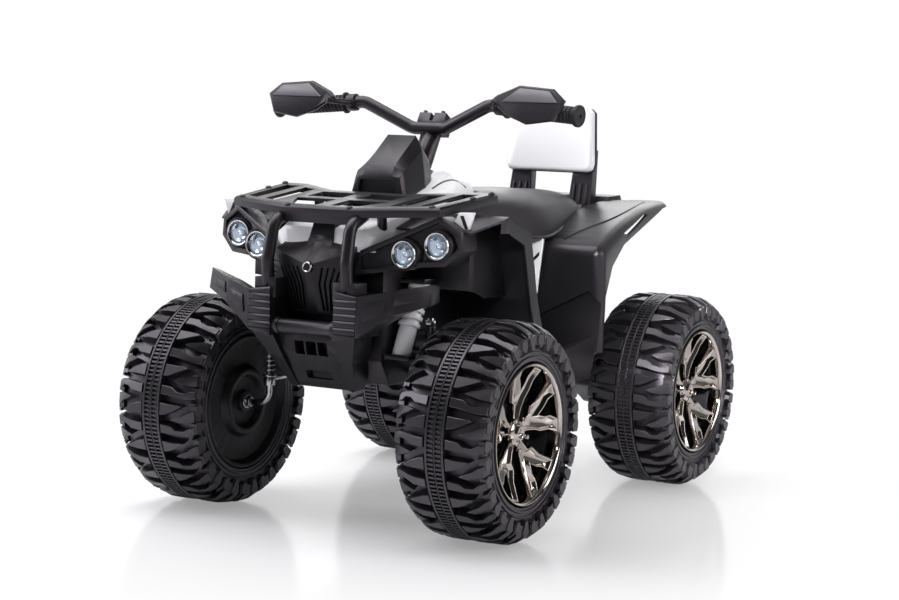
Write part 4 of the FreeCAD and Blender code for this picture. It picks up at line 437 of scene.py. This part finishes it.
def tread_lug(name, drop, outline):
    """A tread block whose foot sinks into the carcass and whose top follows the crown."""
    mid_x, mid_along = middle_of(outline)
    low = [wrapped(x, along, crown(x) - LUG_FOOT) for x, along in outline]
    high = [wrapped(mid_x + (x - mid_x) * LUG_TAPER_ACROSS,
                    mid_along + (along - mid_along) * LUG_TAPER_ALONG,
                    crown(x) - drop) for x, along in outline]
    return round_edges(slab(name, low, high), LUG_EDGE, segments=1, angle=25)


def side_block(outline):
    """A raised angular block on the sidewall with a faceted edge."""
    mid_along, mid_radius = middle_of(outline)
    low = [wrapped(SIDE_DEEP, along, radius) for along, radius in outline]
    high = [wrapped(SIDE_PROUD, mid_along + (along - mid_along) * SIDE_TAPER_ALONG,
                    mid_radius + (radius - mid_radius) * SIDE_TAPER_RADIUS) for along, radius in outline]
    return slab("side_block", low, high)


def round_tyre(block, inner):
    """Repeats a block round the tyre, on the inner side half a step on."""
    if inner:
        settle(block, Matrix.Rotation(math.pi / LUGS, 4, "X") @ Matrix.Rotation(math.pi, 4, "Z"))
    return ring_of(block, LUGS)


def tyre():
    outline = list(CARCASS) + [(-x, radius) for x, radius in CARCASS[::-1]]
    parts = [turned("tyre", outline, TYRE_STEPS)]
    for near, far, top in RAILS:
        rail = [(near, RAIL_FOOT), (near, top - RAIL_EDGE_R), (near + RAIL_EDGE_X, top),
                (far - RAIL_EDGE_X, top), (far, top - RAIL_EDGE_R), (far, RAIL_FOOT)]
        parts.append(turned("rail", rail, TYRE_STEPS))
    parts.append(turned("band_floor", BAND_FLOOR, TYRE_STEPS))
    for near, far in RUNG_SPANS:
        rung = [(near, -RUNG_HALF), (far, -RUNG_HALF), (far, RUNG_HALF), (near, RUNG_HALF)]
        low = [wrapped(x, along, RUNG_FOOT) for x, along in rung]
        high = [wrapped(x, along * RUNG_TAPER, RUNG_TOP) for x, along in rung]
        parts.append(ring_of(slab("rung", low, high), RUNGS))
    for inner in (False, True):
        for name, drop, lug in TREAD:
            parts.append(round_tyre(tread_lug(name, drop, lug), inner))
        for block in SIDE_BLOCKS:
            parts.append(round_tyre(side_block(block), inner))
    return smooth(joined("tyre_model", parts), angle=28)


# Rim face, five forked spokes in a dish
DISH_FROM, DISH_RUN, DISH_FLOOR, DISH_RISE = 0.018, 0.099, 0.0535, 0.0215
SPOKE = ((0.016, -0.0080), (0.034, -0.0115), (0.054, -0.0165), (0.064, -0.0310), (0.086, -0.0370),
         (0.1200, -0.0560), (0.1200, -0.0290), (0.104, -0.0240), (0.092, -0.0120), (0.076, -0.0020),
         (0.090, 0.0070), (0.104, 0.0100), (0.1200, 0.0240), (0.1200, 0.0510), (0.100, 0.0370),
         (0.080, 0.0320), (0.064, 0.0225), (0.044, 0.0145), (0.016, 0.0080))
SPOKE_DEPTH, SPOKE_TAPER, SPOKE_LEAST_R, SPOKE_EDGE = 0.0150, 0.93, 0.02, 0.0006
SPOKE_BORDER, SPOKE_SLOPE, SPOKE_SUNK = 0.0024, 0.0040, -0.0075
LIP = ((0.0560, 0.1192), (0.0700, 0.1198), (0.0770, 0.1204), (0.0800, 0.1214), (0.0815, 0.1232),
       (0.0825, 0.1248), (0.0822, 0.1262), (0.0800, 0.1268), (0.0740, 0.1264), (0.0640, 0.1240),
       (0.0560, 0.1225))
HUB = ((0.0510, 0.0020), (0.0600, 0.0020), (0.0600, 0.0065), (0.0625, 0.0075), (0.0640, 0.0095),
       (0.0640, 0.0125), (0.0615, 0.0145), (0.0590, 0.0160), (0.0580, 0.0200), (0.0560, 0.0235),
       (0.0510, 0.0255))
STUD_FOOT, STUD_TALL, STUD_R, STUD_CIRCLE, STUD_EDGE = 0.0560, 0.0080, 0.0045, 0.030, 0.0008


def dish(radius):
    share = (radius - DISH_FROM) / DISH_RUN
    return DISH_FLOOR + DISH_RISE * share * share


def polar(radius, side, x):
    """A point at a radius with a sideways step, on the rim's face."""
    return on_ring(x, radius, side / max(radius, SPOKE_LEAST_R))


def spoke():
    low = [polar(radius, side, dish(radius) - SPOKE_DEPTH) for radius, side in SPOKE]
    high = [polar(radius, side * SPOKE_TAPER, dish(radius)) for radius, side in SPOKE]
    blade = slab("spoke", low, high)
    pick(blade)
    bpy.ops.object.mode_set(mode="EDIT")
    bpy.ops.mesh.select_all(action="DESELECT")
    leave_edit()
    for poly in blade.data.polygons:
        poly.select = len(poly.vertices) == len(SPOKE) and poly.normal.x > 0.5
    bpy.ops.object.mode_set(mode="EDIT")
    bpy.ops.mesh.inset(thickness=SPOKE_BORDER, depth=0.0)
    bpy.ops.mesh.inset(thickness=SPOKE_SLOPE, depth=SPOKE_SUNK)
    leave_edit()
    return round_edges(blade, SPOKE_EDGE, angle=35)


def rim():
    parts = [turned("lip", LIP, steps=96), turned("hub", HUB, steps=60), ring_of(spoke(), SPOKES)]
    knob = []
    for turn in [index * math.pi / 3 for index in range(6)]:
        knob.append(Vector((STUD_FOOT, STUD_R * math.cos(turn), STUD_CIRCLE + STUD_R * math.sin(turn))))
    stud = slab("stud", knob, [point + Vector((STUD_TALL, 0, 0)) for point in knob])
    settle(stud, Matrix.Rotation(math.pi / SPOKES, 4, "X"))
    parts.append(ring_of(round_edges(stud, STUD_EDGE), SPOKES))
    return smooth(joined("rim_model", parts), angle=35)


tyre_model = tyre()
rim_model = rim()
for place, y in (("front", FRONT_Y), ("rear", REAR_Y)):
    for hand, side in SIDES:
        wheel_place = Matrix.Translation((side * WHEEL_X, y, AXLE_Z))
        if side < 0:
            wheel_place = wheel_place @ Matrix.Rotation(math.pi, 4, "Z")
        body = place + "_wheel_" + hand
        dress(copied(tyre_model, place + "_tyre_detail_" + hand, wheel_place), TYRE_BLACK, body, "tyre_black",
              place + "_tyre_" + hand)
        dress(copied(rim_model, place + "_rim_detail_" + hand, wheel_place), RIM_BRONZE, body, "rim_bronze",
              place + "_rim_" + hand)
bpy.data.objects.remove(tyre_model)
bpy.data.objects.remove(rim_model)

# Grips, ribbed sleeves with a flange at the guard and a knob at the end
GRIP_BORE = 0.0112
GRIP_FLANGE = ((0.0, GRIP_BORE), (0.0, 0.0195), (0.0015, 0.0210), (0.0045, 0.0210), (0.0060, 0.0185),
               (0.0080, 0.0160))
GRIP_RIBS = 17
GRIP_RIB = ((0.0, 0.0152), (0.2, 0.0168), (0.7, 0.0168), (0.9, 0.0152))
GRIP_RIBS_FROM, GRIP_RIBS_SHORT = 0.012, 0.016
GRIP_KNOB = ((0.013, 0.0160), (0.009, 0.0200), (0.0065, 0.0210), (0.0020, 0.0210), (0.0, 0.0195),
             (0.0, 0.0040), (0.0030, 0.0040), (0.0030, GRIP_BORE))


def grip_model():
    length = (GRIP_OUT - GRIP_IN).length
    pitch = (length - GRIP_RIBS_SHORT - GRIP_RIBS_FROM) / GRIP_RIBS
    outline = list(GRIP_FLANGE)
    for index in range(GRIP_RIBS):
        at = GRIP_RIBS_FROM + index * pitch
        outline += [(at + pitch * share, radius) for share, radius in GRIP_RIB]
    outline += [(length - back, radius) for back, radius in GRIP_KNOB]
    return smooth(turned("grip_model", outline, steps=40), angle=40)


grip_shape = grip_model()
for hand, side in SIDES:
    start = Vector((side * GRIP_IN.x, GRIP_IN.y, GRIP_IN.z))
    end = Vector((side * GRIP_OUT.x, GRIP_OUT.y, GRIP_OUT.z))
    sleeve = copied(grip_shape, "grip_sleeve_" + hand, along_line(start, end))
    dress(sleeve, GRIP_RUBBER, "steering", "grip_rubber", "grips")
bpy.data.objects.remove(grip_shape)

# Headlights: stepped ring, faceted bowl, bulb and glass, each turned about the lamp's own axis
LAMPS = ((0.1584, 0.5081, -0.4601), (0.2148, 0.5252, -0.4411))
LAMP_RING = ((0.0120, 0.0191), (0.0036, 0.0191), (0.0028, 0.0198), (0.0012, 0.0206), (0.0000, 0.0216),
             (-0.0008, 0.0230), (-0.0006, 0.0242), (0.0006, 0.0249), (0.0120, 0.0249))
LAMP_BOWL = ((0.0040, 0.0190), (0.0075, 0.0168), (0.0115, 0.0120), (0.0140, 0.0050), (0.0150, 0.0050),
             (0.0128, 0.0128), (0.0088, 0.0176), (0.0050, 0.0195))
LAMP_BULB = ((0.0150, 0.0002), (0.0080, 0.0002), (0.0072, 0.0022), (0.0080, 0.0044), (0.0100, 0.0052),
             (0.0150, 0.0052))
LAMP_GLASS = ((0.0002, 0.0002), (0.0006, 0.0100), (0.0018, 0.0160), (0.0034, 0.0192), (0.0046, 0.0192),
              (0.0032, 0.0156), (0.0020, 0.0098), (0.0016, 0.0002))
FACE_FRONT = Matrix.Rotation(math.pi / 2, 4, "Z")

lamp_ring = smooth(turned("lamp_ring", LAMP_RING, steps=72), angle=40)
lamp_bowl = turned("lamp_bowl", LAMP_BOWL, steps=24)
lamp_bulb = smooth(turned("lamp_bulb", LAMP_BULB, steps=24), angle=40)
lamp_glass = smooth(turned("lamp_glass", LAMP_GLASS, steps=72), angle=50)
for hand, side in SIDES:
    for index, (x, z, y) in enumerate(LAMPS):
        lamp_place = Matrix.Translation((side * x, y, z)) @ FACE_FRONT
        label = hand + "_" + str(index)
        dress(copied(lamp_ring, "lamp_ring_" + label, lamp_place), BEZEL_CHROME, "chassis", "bezel_chrome",
              "headlight_bezels")
        dress(copied(lamp_bowl, "lamp_bowl_" + label, lamp_place), REFLECTOR, "chassis", "bezel_chrome")
        dress(copied(lamp_bulb, "lamp_bulb_" + label, lamp_place), BEZEL_CHROME, "chassis", "bezel_chrome")
        dress(copied(lamp_glass, "lamp_glass_" + label, lamp_place), LENS_CLEAR, "chassis", "lens_clear",
              "headlight_lenses")
for piece in (lamp_ring, lamp_bowl, lamp_bulb, lamp_glass):
    bpy.data.objects.remove(piece)

# Kingpin springs wound from round wire
WIRE_R, WIRE_SIDES = 0.0015, 12
COIL_R, COIL_TURNS, COIL_STEPS = 0.0095, 7, 28
COIL_MERGE = 0.00001


def coil_spring(hand, side):
    low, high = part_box("kingpin_spring_" + hand)
    clear_pick()
    bpy.ops.mesh.primitive_circle_add(vertices=WIRE_SIDES, radius=WIRE_R, location=(COIL_R, 0, 0),
                                      rotation=(math.pi / 2, 0, 0))
    coil = bpy.context.object
    coil.name = "spring_coil_" + hand
    bpy.ops.object.transform_apply(location=True, rotation=True, scale=True)
    rise = (high.z - low.z - 2 * WIRE_R) / COIL_TURNS
    use(coil, "SCREW", axis="Z", angle=2 * math.pi, screw_offset=rise, iterations=COIL_TURNS,
        steps=COIL_STEPS, render_steps=COIL_STEPS, use_merge_vertices=False)
    edit_all(coil)
    bpy.ops.mesh.remove_doubles(threshold=COIL_MERGE)
    bpy.ops.mesh.fill_holes(sides=0)
    bpy.ops.mesh.normals_make_consistent(inside=False)
    leave_edit()
    settle(coil, Matrix.Translation((side * KINGPIN_X, FRONT_Y, low.z + WIRE_R)))
    smooth(coil, angle=60)
    dress(coil, BRIGHT_STEEL, "chassis", "bright_steel", "kingpin_spring_" + hand)
    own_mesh(coil)


for hand, side in SIDES:
    coil_spring(hand, side)

# Plain bright ring on the boss of the front fascia
BOSS_RING = ((0.0030, 0.0066), (-0.0006, 0.0068), (-0.0016, 0.0078), (-0.0016, 0.0090), (-0.0004, 0.0100),
             (0.0030, 0.0101))
boss_ring = settle(turned("boss_ring", BOSS_RING, steps=48), Matrix.Translation(BOSS_FACE) @ FACE_FRONT)
dress(smooth(boss_ring, angle=40), BEZEL_CHROME, "chassis", "bezel_chrome")

# Ribs on the front of the backrest posts, just above the tail deck
POST_RIBS = 3
POST_RIB_PITCH, POST_RIB_TALL, POST_RIB_SUNK = 0.015, 0.052, 0.001
POST_RIB_LOW_HALF, POST_RIB_HIGH_HALF = 0.0032, 0.0026
POST_RIB_PROUD, POST_RIB_SLOPE, POST_RIB_EDGE = 0.0045, 0.004, 0.0010


def post_rib(x, hand, index):
    low, high = REST_POST_LOW, REST_POST_LOW + POST_RIB_TALL
    near = REST_POST_FRONT + POST_RIB_SUNK
    far = near + (high - low) * math.tan(REST_POST_RAKE)
    foot = [Vector((x - POST_RIB_LOW_HALF, near, low)), Vector((x + POST_RIB_LOW_HALF, near, low)),
            Vector((x + POST_RIB_HIGH_HALF, far, high)), Vector((x - POST_RIB_HIGH_HALF, far, high))]
    top = [point + Vector((0, -POST_RIB_PROUD, 0)) for point in foot]
    for point in top[2:]:
        point.z -= POST_RIB_SLOPE
    rib = round_edges(slab("post_rib_" + hand + "_" + str(index), foot, top), POST_RIB_EDGE)
    dress(smooth(rib), BODY_BLACK, "chassis", "body_black")


for hand, side in SIDES:
    for index in range(POST_RIBS):
        post_rib(side * REST_POST_X + (index - 1) * POST_RIB_PITCH, hand, index)

# Seat, a padded cover grown from a merged copy of the solid
SEAT_MERGE, SEAT_VOXEL = 0.0001, 0.0055


def seat_cover():
    pick(nodes["seat"])
    bpy.ops.object.duplicate()
    cover = bpy.context.object
    cover.name = "seat_cover"
    for key in list(cover.keys()):
        if key.startswith("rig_"):
            del cover[key]
    cover.parent = None
    cover.matrix_world = Matrix.Identity(4)
    edit_all(cover)
    bpy.ops.mesh.remove_doubles(threshold=SEAT_MERGE)
    leave_edit()
    use(cover, "REMESH", mode="VOXEL", voxel_size=SEAT_VOXEL)
    use(cover, "SMOOTH", factor=0.5, iterations=7)
    use(cover, "SUBSURF", levels=1, render_levels=1)
    pick(cover)
    bpy.ops.object.shade_smooth()
    dress(cover, SEAT_BLACK, "chassis", "seat_black", "seat")


seat_cover()

# Lip along the lower side edges of the seat, slits in the tank, raised lines on the rear fenders
SEAT_LIP_R, TANK_SLIT_R, FENDER_LINE_R = 0.0042, 0.0016, 0.0024
TANK_SLIT = ((0.066, -0.205), (0.063, -0.180), (0.061, -0.155), (0.061, -0.130), (0.063, -0.105),
             (0.068, -0.080))
FENDER_LINE = ((0.184, 0.128), (0.192, 0.160), (0.206, 0.200), (0.222, 0.240), (0.228, 0.290),
               (0.226, 0.340), (0.218, 0.400), (0.206, 0.460))
ABOVE_ALL = 1.0


def tube(name, points, radius, resolution):
    """A round strand along a smooth path, turned into a mesh."""
    clear_pick()
    bpy.ops.curve.primitive_nurbs_path_add()
    path = bpy.context.object
    spline = path.data.splines[0]
    spline.points.add(len(points) - len(spline.points))
    for spot, point in zip(spline.points, points):
        spot.co = (*point, 1)
    spline.order_u = 3
    spline.use_endpoint_u = True
    path.data.dimensions = "3D"
    path.data.bevel_depth = radius
    path.data.bevel_resolution = resolution
    path.data.use_fill_caps = True
    bpy.ops.object.convert(target="MESH")
    strand = bpy.context.object
    strand.name = name
    return smooth(strand, angle=50)


def surface_line(name, node, places, radius, material):
    """A thin round line laid from above on the skin of a solid."""
    down = Vector((0, 0, -1))
    points = [nodes[node].ray_cast(Vector((x, y, ABOVE_ALL)), down)[1] for x, y in places]
    dress(tube(name, points, radius, resolution=2), material, "chassis", "body_black")


for hand, side in SIDES:
    lip = tube("seat_lip_" + hand, [(side * x, y, z) for x, y, z in SEAT_EDGE], SEAT_LIP_R, resolution=3)
    dress(lip, SEAT_BLACK, "chassis", "seat_black")

# Domed screws on the rim of the front rack
RACK_SCREWS = ((0.066, -0.4950), (0.205, -0.4425), (0.2245, -0.3300), (0.2285, -0.2680))
SCREW_DOME = ((-0.0030, 0.0002), (-0.0030, 0.0060), (0.0014, 0.0060), (0.0028, 0.0048), (0.0034, 0.0030),
              (0.0016, 0.0026), (0.0016, 0.0002))


def rack_screws():
    dome = turned("rack_screw", SCREW_DOME, steps=20)
    smooth(settle(dome, Matrix.Rotation(-math.pi / 2, 4, "Y")), angle=35)
    tilt = Matrix.Rotation(RACK_TILT, 4, "X")
    for hand, side in SIDES:
        for index, (x, y) in enumerate(RACK_SCREWS):
            z = RACK_FRONT_Z + (y - RACK_FRONT_Y) * math.tan(RACK_TILT)
            place = Matrix.Translation((side * x, y, z)) @ tilt
            screw = copied(dome, "rack_screw_" + hand + "_" + str(index), place)
            dress(screw, FRAME_BLACK, "chassis", "body_black")
    bpy.data.objects.remove(dome)


rack_screws()

# Dark bands across the white trims, as (x, z) points on the front face of each trim
NOSE_BAND = ((0.2430, 0.5800), (0.2500, 0.5805), (0.2600, 0.5570), (0.2540, 0.5560))
KNEE_BAND = ((0.1415, 0.4790), (0.1535, 0.4910), (0.1535, 0.4830), (0.1415, 0.4710))
BAND_SUNK, BAND_THICK = 0.0008, 0.0018


def trim_band(name, side, face, outline):
    foot = [Vector((side * x, face + BAND_SUNK, z)) for x, z in outline]
    band = slab(name, foot, [point + Vector((0, -BAND_THICK, 0)) for point in foot])
    dress(band, BODY_BLACK, "chassis", "body_black")


for hand, side in SIDES:
    surface_line("tank_slit_" + hand, "upper_shell", [(side * x, y) for x, y in TANK_SLIT], TANK_SLIT_R,
                 FRAME_BLACK)
    surface_line("fender_line_" + hand, "rear_fender_" + hand, [(side * x, y) for x, y in FENDER_LINE],
                 FENDER_LINE_R, BODY_BLACK)
    trim_band("nose_band_" + hand, side, NOSE_FACE, NOSE_BAND)
    trim_band("knee_band_" + hand, side, KNEE_FACE, KNEE_BAND)

# Finishes by the slot of a solid, with painted shade on two nodes (a darker, less glossy copy of the body
# black for the skid plate and fascia), and edge widths
FINISH = {"wheel_core_black": CORE_BLACK, "bright_steel": BRIGHT_STEEL, "frame_black": FRAME_BLACK,
          "body_black": BODY_BLACK, "window_grey": WINDOW_GREY, "shell_white": SHELL_WHITE,
          "button_red": BUTTON_RED, "battery_case": BATTERY_CASE, "gear_case": CORE_BLACK,
          "motor_can": MOTOR_CAN, "tyre_black": TYRE_BLACK, "rim_bronze": RIM_BRONZE,
          "grip_rubber": GRIP_RUBBER, "bezel_chrome": BEZEL_CHROME, "lens_clear": LENS_CLEAR,
          "seat_black": SEAT_BLACK}
NODE_FINISH = {"skid_plate": FRONT_PAINTED_SHADE_BLACK, "front_fascia": FRONT_PAINTED_SHADE_BLACK}
EDGE = {"backrest_pad": 0.0045, "upper_shell": 0.0030, "front_rack": 0.0012, "handlebar": 0.0006,
        "steering_shaft": 0.0006}
EDGE_ELSEWHERE = 0.0016
for row in frame["record"]["subparts"]:
    obj = smooth(nodes[row["node"]], angle=28)
    obj.data.materials.clear()
    obj.data.materials.append(NODE_FINISH.get(row["node"], FINISH[row["material_slot"]]))
    weld = obj.modifiers.new("weld", "WELD")
    weld.merge_threshold = MERGE
    bevel = obj.modifiers.new("bevel", "BEVEL")
    bevel.width = EDGE.get(row["node"], EDGE_ELSEWHERE)
    bevel.segments = 2
    bevel.limit_method = "ANGLE"
    bevel.angle_limit = math.radians(32)
    bevel.harden_normals = True

# Floor, light and camera
FLOOR_SIZE = 60
FLOOR_FADE, FLOOR_SHARE = (0.60, 1.25), (0.30, 1.0)
FLOOR_IN_MIRROR = 0.35
WORLD_STRENGTH = 0.36
# Brightness of the world in reflections by height, depth and side of the direction
CEILING, CEILING_LIGHT = (0.25, 0.65), (1.0, 0.25)
DEPTH, DEPTH_LIGHT = (-0.75, 0.10), (0.25, 1.0)
FLANK, FLANK_LIGHT = (0.05, 0.45), (1.0, 0.15)
# Panels: name, place, aim, size, power, colour, spread in degrees
WHITE = (1, 1, 1)
PANELS = (("overhead", (-0.70, -0.35, 2.6), (-0.2, 0, 0.3), (2.4, 2.4), 66, WHITE, 180),
          ("back_panel", (-1.1, 3.2, 2.1), (0, 0, 0.45), (2.6, 1.2), 34, WHITE, 180),
          ("left_panel", (-3.0, -1.7, 1.9), (0, 0, 0.45), (1.6, 2.2), 58, (0.95, 0.95, 1.0), 180),
          ("right_panel", (3.2, 0.4, 1.6), (0, 0, 0.4), (1.4, 2.2), 45, (1.0, 0.97, 0.97), 180),
          ("well_panel", (1.6, -2.6, 1.5), (0.34, 0.30, 0.38), (0.3, 0.3), 1.5, WHITE, 17))
EYE = Vector((1.9893, -3.5103, 0.7497))
AIM = Vector((0.01353, -0.03244, 0.3902))
ROLL = math.radians(1.9)
SENSOR_MM, FOCAL_PX, PHOTO_WIDTH_PX = 36.0, 2010.0, 899.0


def seen_rays(tree):
    """One for rays from the camera or through a clear piece, and one for rays off a glossy piece."""
    path = add_node(tree, "ShaderNodeLightPath")
    direct = add_node(tree, "ShaderNodeMath", operation="MAXIMUM")
    tree.links.new(path.outputs["Is Camera Ray"], direct.inputs[0])
    tree.links.new(path.outputs["Is Transmission Ray"], direct.inputs[1])
    return direct.outputs[0], path.outputs["Is Glossy Ray"]


def combine(tree, operation, first, second):
    """The result of a math node on two outputs."""
    node = add_node(tree, "ShaderNodeMath", operation=operation)
    tree.links.new(first, node.inputs[0])
    tree.links.new(second, node.inputs[1])
    return node.outputs[0]


def mix_of(tree, factor, first, second):
    """The result of a mix of two shaders."""
    node = add_node(tree, "ShaderNodeMixShader")
    for socket, output in zip(node.inputs, (factor, first, second)):
        tree.links.new(output, socket)
    return node.outputs[0]


def stage_floor():
    """A pale glossy floor round the wheels that runs out into plain white."""
    clear_pick()
    bpy.ops.mesh.primitive_plane_add(size=FLOOR_SIZE, location=(0, 0, 0))
    floor = bpy.context.object
    floor.name = "studio_floor"
    mat, tree, shader = new_material("studio_floor")
    shader.inputs["Base Color"].default_value = (0.92, 0.92, 0.93, 1)
    shader.inputs["Roughness"].default_value = 0.14
    white = add_node(tree, "ShaderNodeEmission", {"Color": (*WHITE, 1)})
    place = add_node(tree, "ShaderNodeTexCoord")
    away = add_node(tree, "ShaderNodeVectorMath", operation="LENGTH")
    fade = map_range(tree, FLOOR_FADE, FLOOR_SHARE, interpolation_type="SMOOTHSTEP")
    tree.links.new(place.outputs["Object"], away.inputs[0])
    tree.links.new(away.outputs["Value"], fade.inputs["Value"])
    direct, glossy = seen_rays(tree)
    dimmed = add_node(tree, "ShaderNodeMath", {1: FLOOR_IN_MIRROR}, operation="MULTIPLY")
    tree.links.new(glossy, dimmed.inputs[0])
    rays = combine(tree, "MAXIMUM", direct, dimmed.outputs[0])
    share = combine(tree, "MULTIPLY", fade.outputs["Result"], rays)
    surface = mix_of(tree, share, shader.outputs[0], white.outputs[0])
    tree.links.new(surface, tree.nodes["Material Output"].inputs["Surface"])
    floor.data.materials.append(mat)


def world_light():
    """Dim even light on the surfaces, plain white in view, and in reflections a white wall at the back."""
    world = bpy.data.worlds.new("studio")
    scene.world = world
    world.use_nodes = True
    tree = world.node_tree
    even = tree.nodes["Background"]
    even.inputs["Color"].default_value = (0.95, 0.95, 1.0, 1)
    even.inputs["Strength"].default_value = WORLD_STRENGTH
    place = add_node(tree, "ShaderNodeTexCoord")
    split = add_node(tree, "ShaderNodeSeparateXYZ")
    tree.links.new(place.outputs["Generated"], split.inputs[0])
    lights = []
    for axis, span, light in (("Z", CEILING, CEILING_LIGHT), ("Y", DEPTH, DEPTH_LIGHT),
                              ("X", FLANK, FLANK_LIGHT)):
        fade = map_range(tree, span, light, interpolation_type="SMOOTHSTEP")
        tree.links.new(split.outputs[axis], fade.inputs["Value"])
        lights.append(fade.outputs["Result"])
    wall = combine(tree, "MULTIPLY", lights[0], lights[1])
    mirrored = add_node(tree, "ShaderNodeBackground")
    tree.links.new(combine(tree, "MULTIPLY", wall, lights[2]), mirrored.inputs["Color"])
    plain = add_node(tree, "ShaderNodeBackground", {"Color": (*WHITE, 1)})
    direct, glossy = seen_rays(tree)
    unseen = mix_of(tree, glossy, even.outputs[0], mirrored.outputs[0])
    surface = mix_of(tree, direct, unseen, plain.outputs[0])
    tree.links.new(surface, tree.nodes["World Output"].inputs["Surface"])


def soft_box(name, place, aim, size, power, colour, spread):
    lamp = bpy.data.lights.new(name, "AREA")
    lamp.shape = "RECTANGLE"
    lamp.size, lamp.size_y = size
    lamp.energy = power
    lamp.color = colour
    lamp.spread = math.radians(spread)
    obj = bpy.data.objects.new(name, lamp)
    scene.collection.objects.link(obj)
    obj.location = place
    obj.rotation_euler = (Vector(aim) - Vector(place)).to_track_quat("-Z", "Y").to_euler()


def photo_camera():
    ahead = (AIM - EYE).normalized()
    level = ahead.cross(Vector((0, 0, 1))).normalized()
    upright = level.cross(ahead)
    right = level * math.cos(ROLL) + upright * math.sin(ROLL)
    top = upright * math.cos(ROLL) - level * math.sin(ROLL)
    data = bpy.data.cameras.new("photo_camera")
    data.sensor_width = SENSOR_MM
    data.lens = FOCAL_PX / PHOTO_WIDTH_PX * SENSOR_MM
    camera = bpy.data.objects.new("photo_camera", data)
    scene.collection.objects.link(camera)
    camera.matrix_world = Matrix(((right.x, top.x, -ahead.x, EYE.x), (right.y, top.y, -ahead.y, EYE.y),
                                  (right.z, top.z, -ahead.z, EYE.z), (0, 0, 0, 1)))
    scene.camera = camera


stage_floor()
world_light()
for panel in PANELS:
    soft_box(*panel)
photo_camera()
scene.view_settings.view_transform = "Standard"
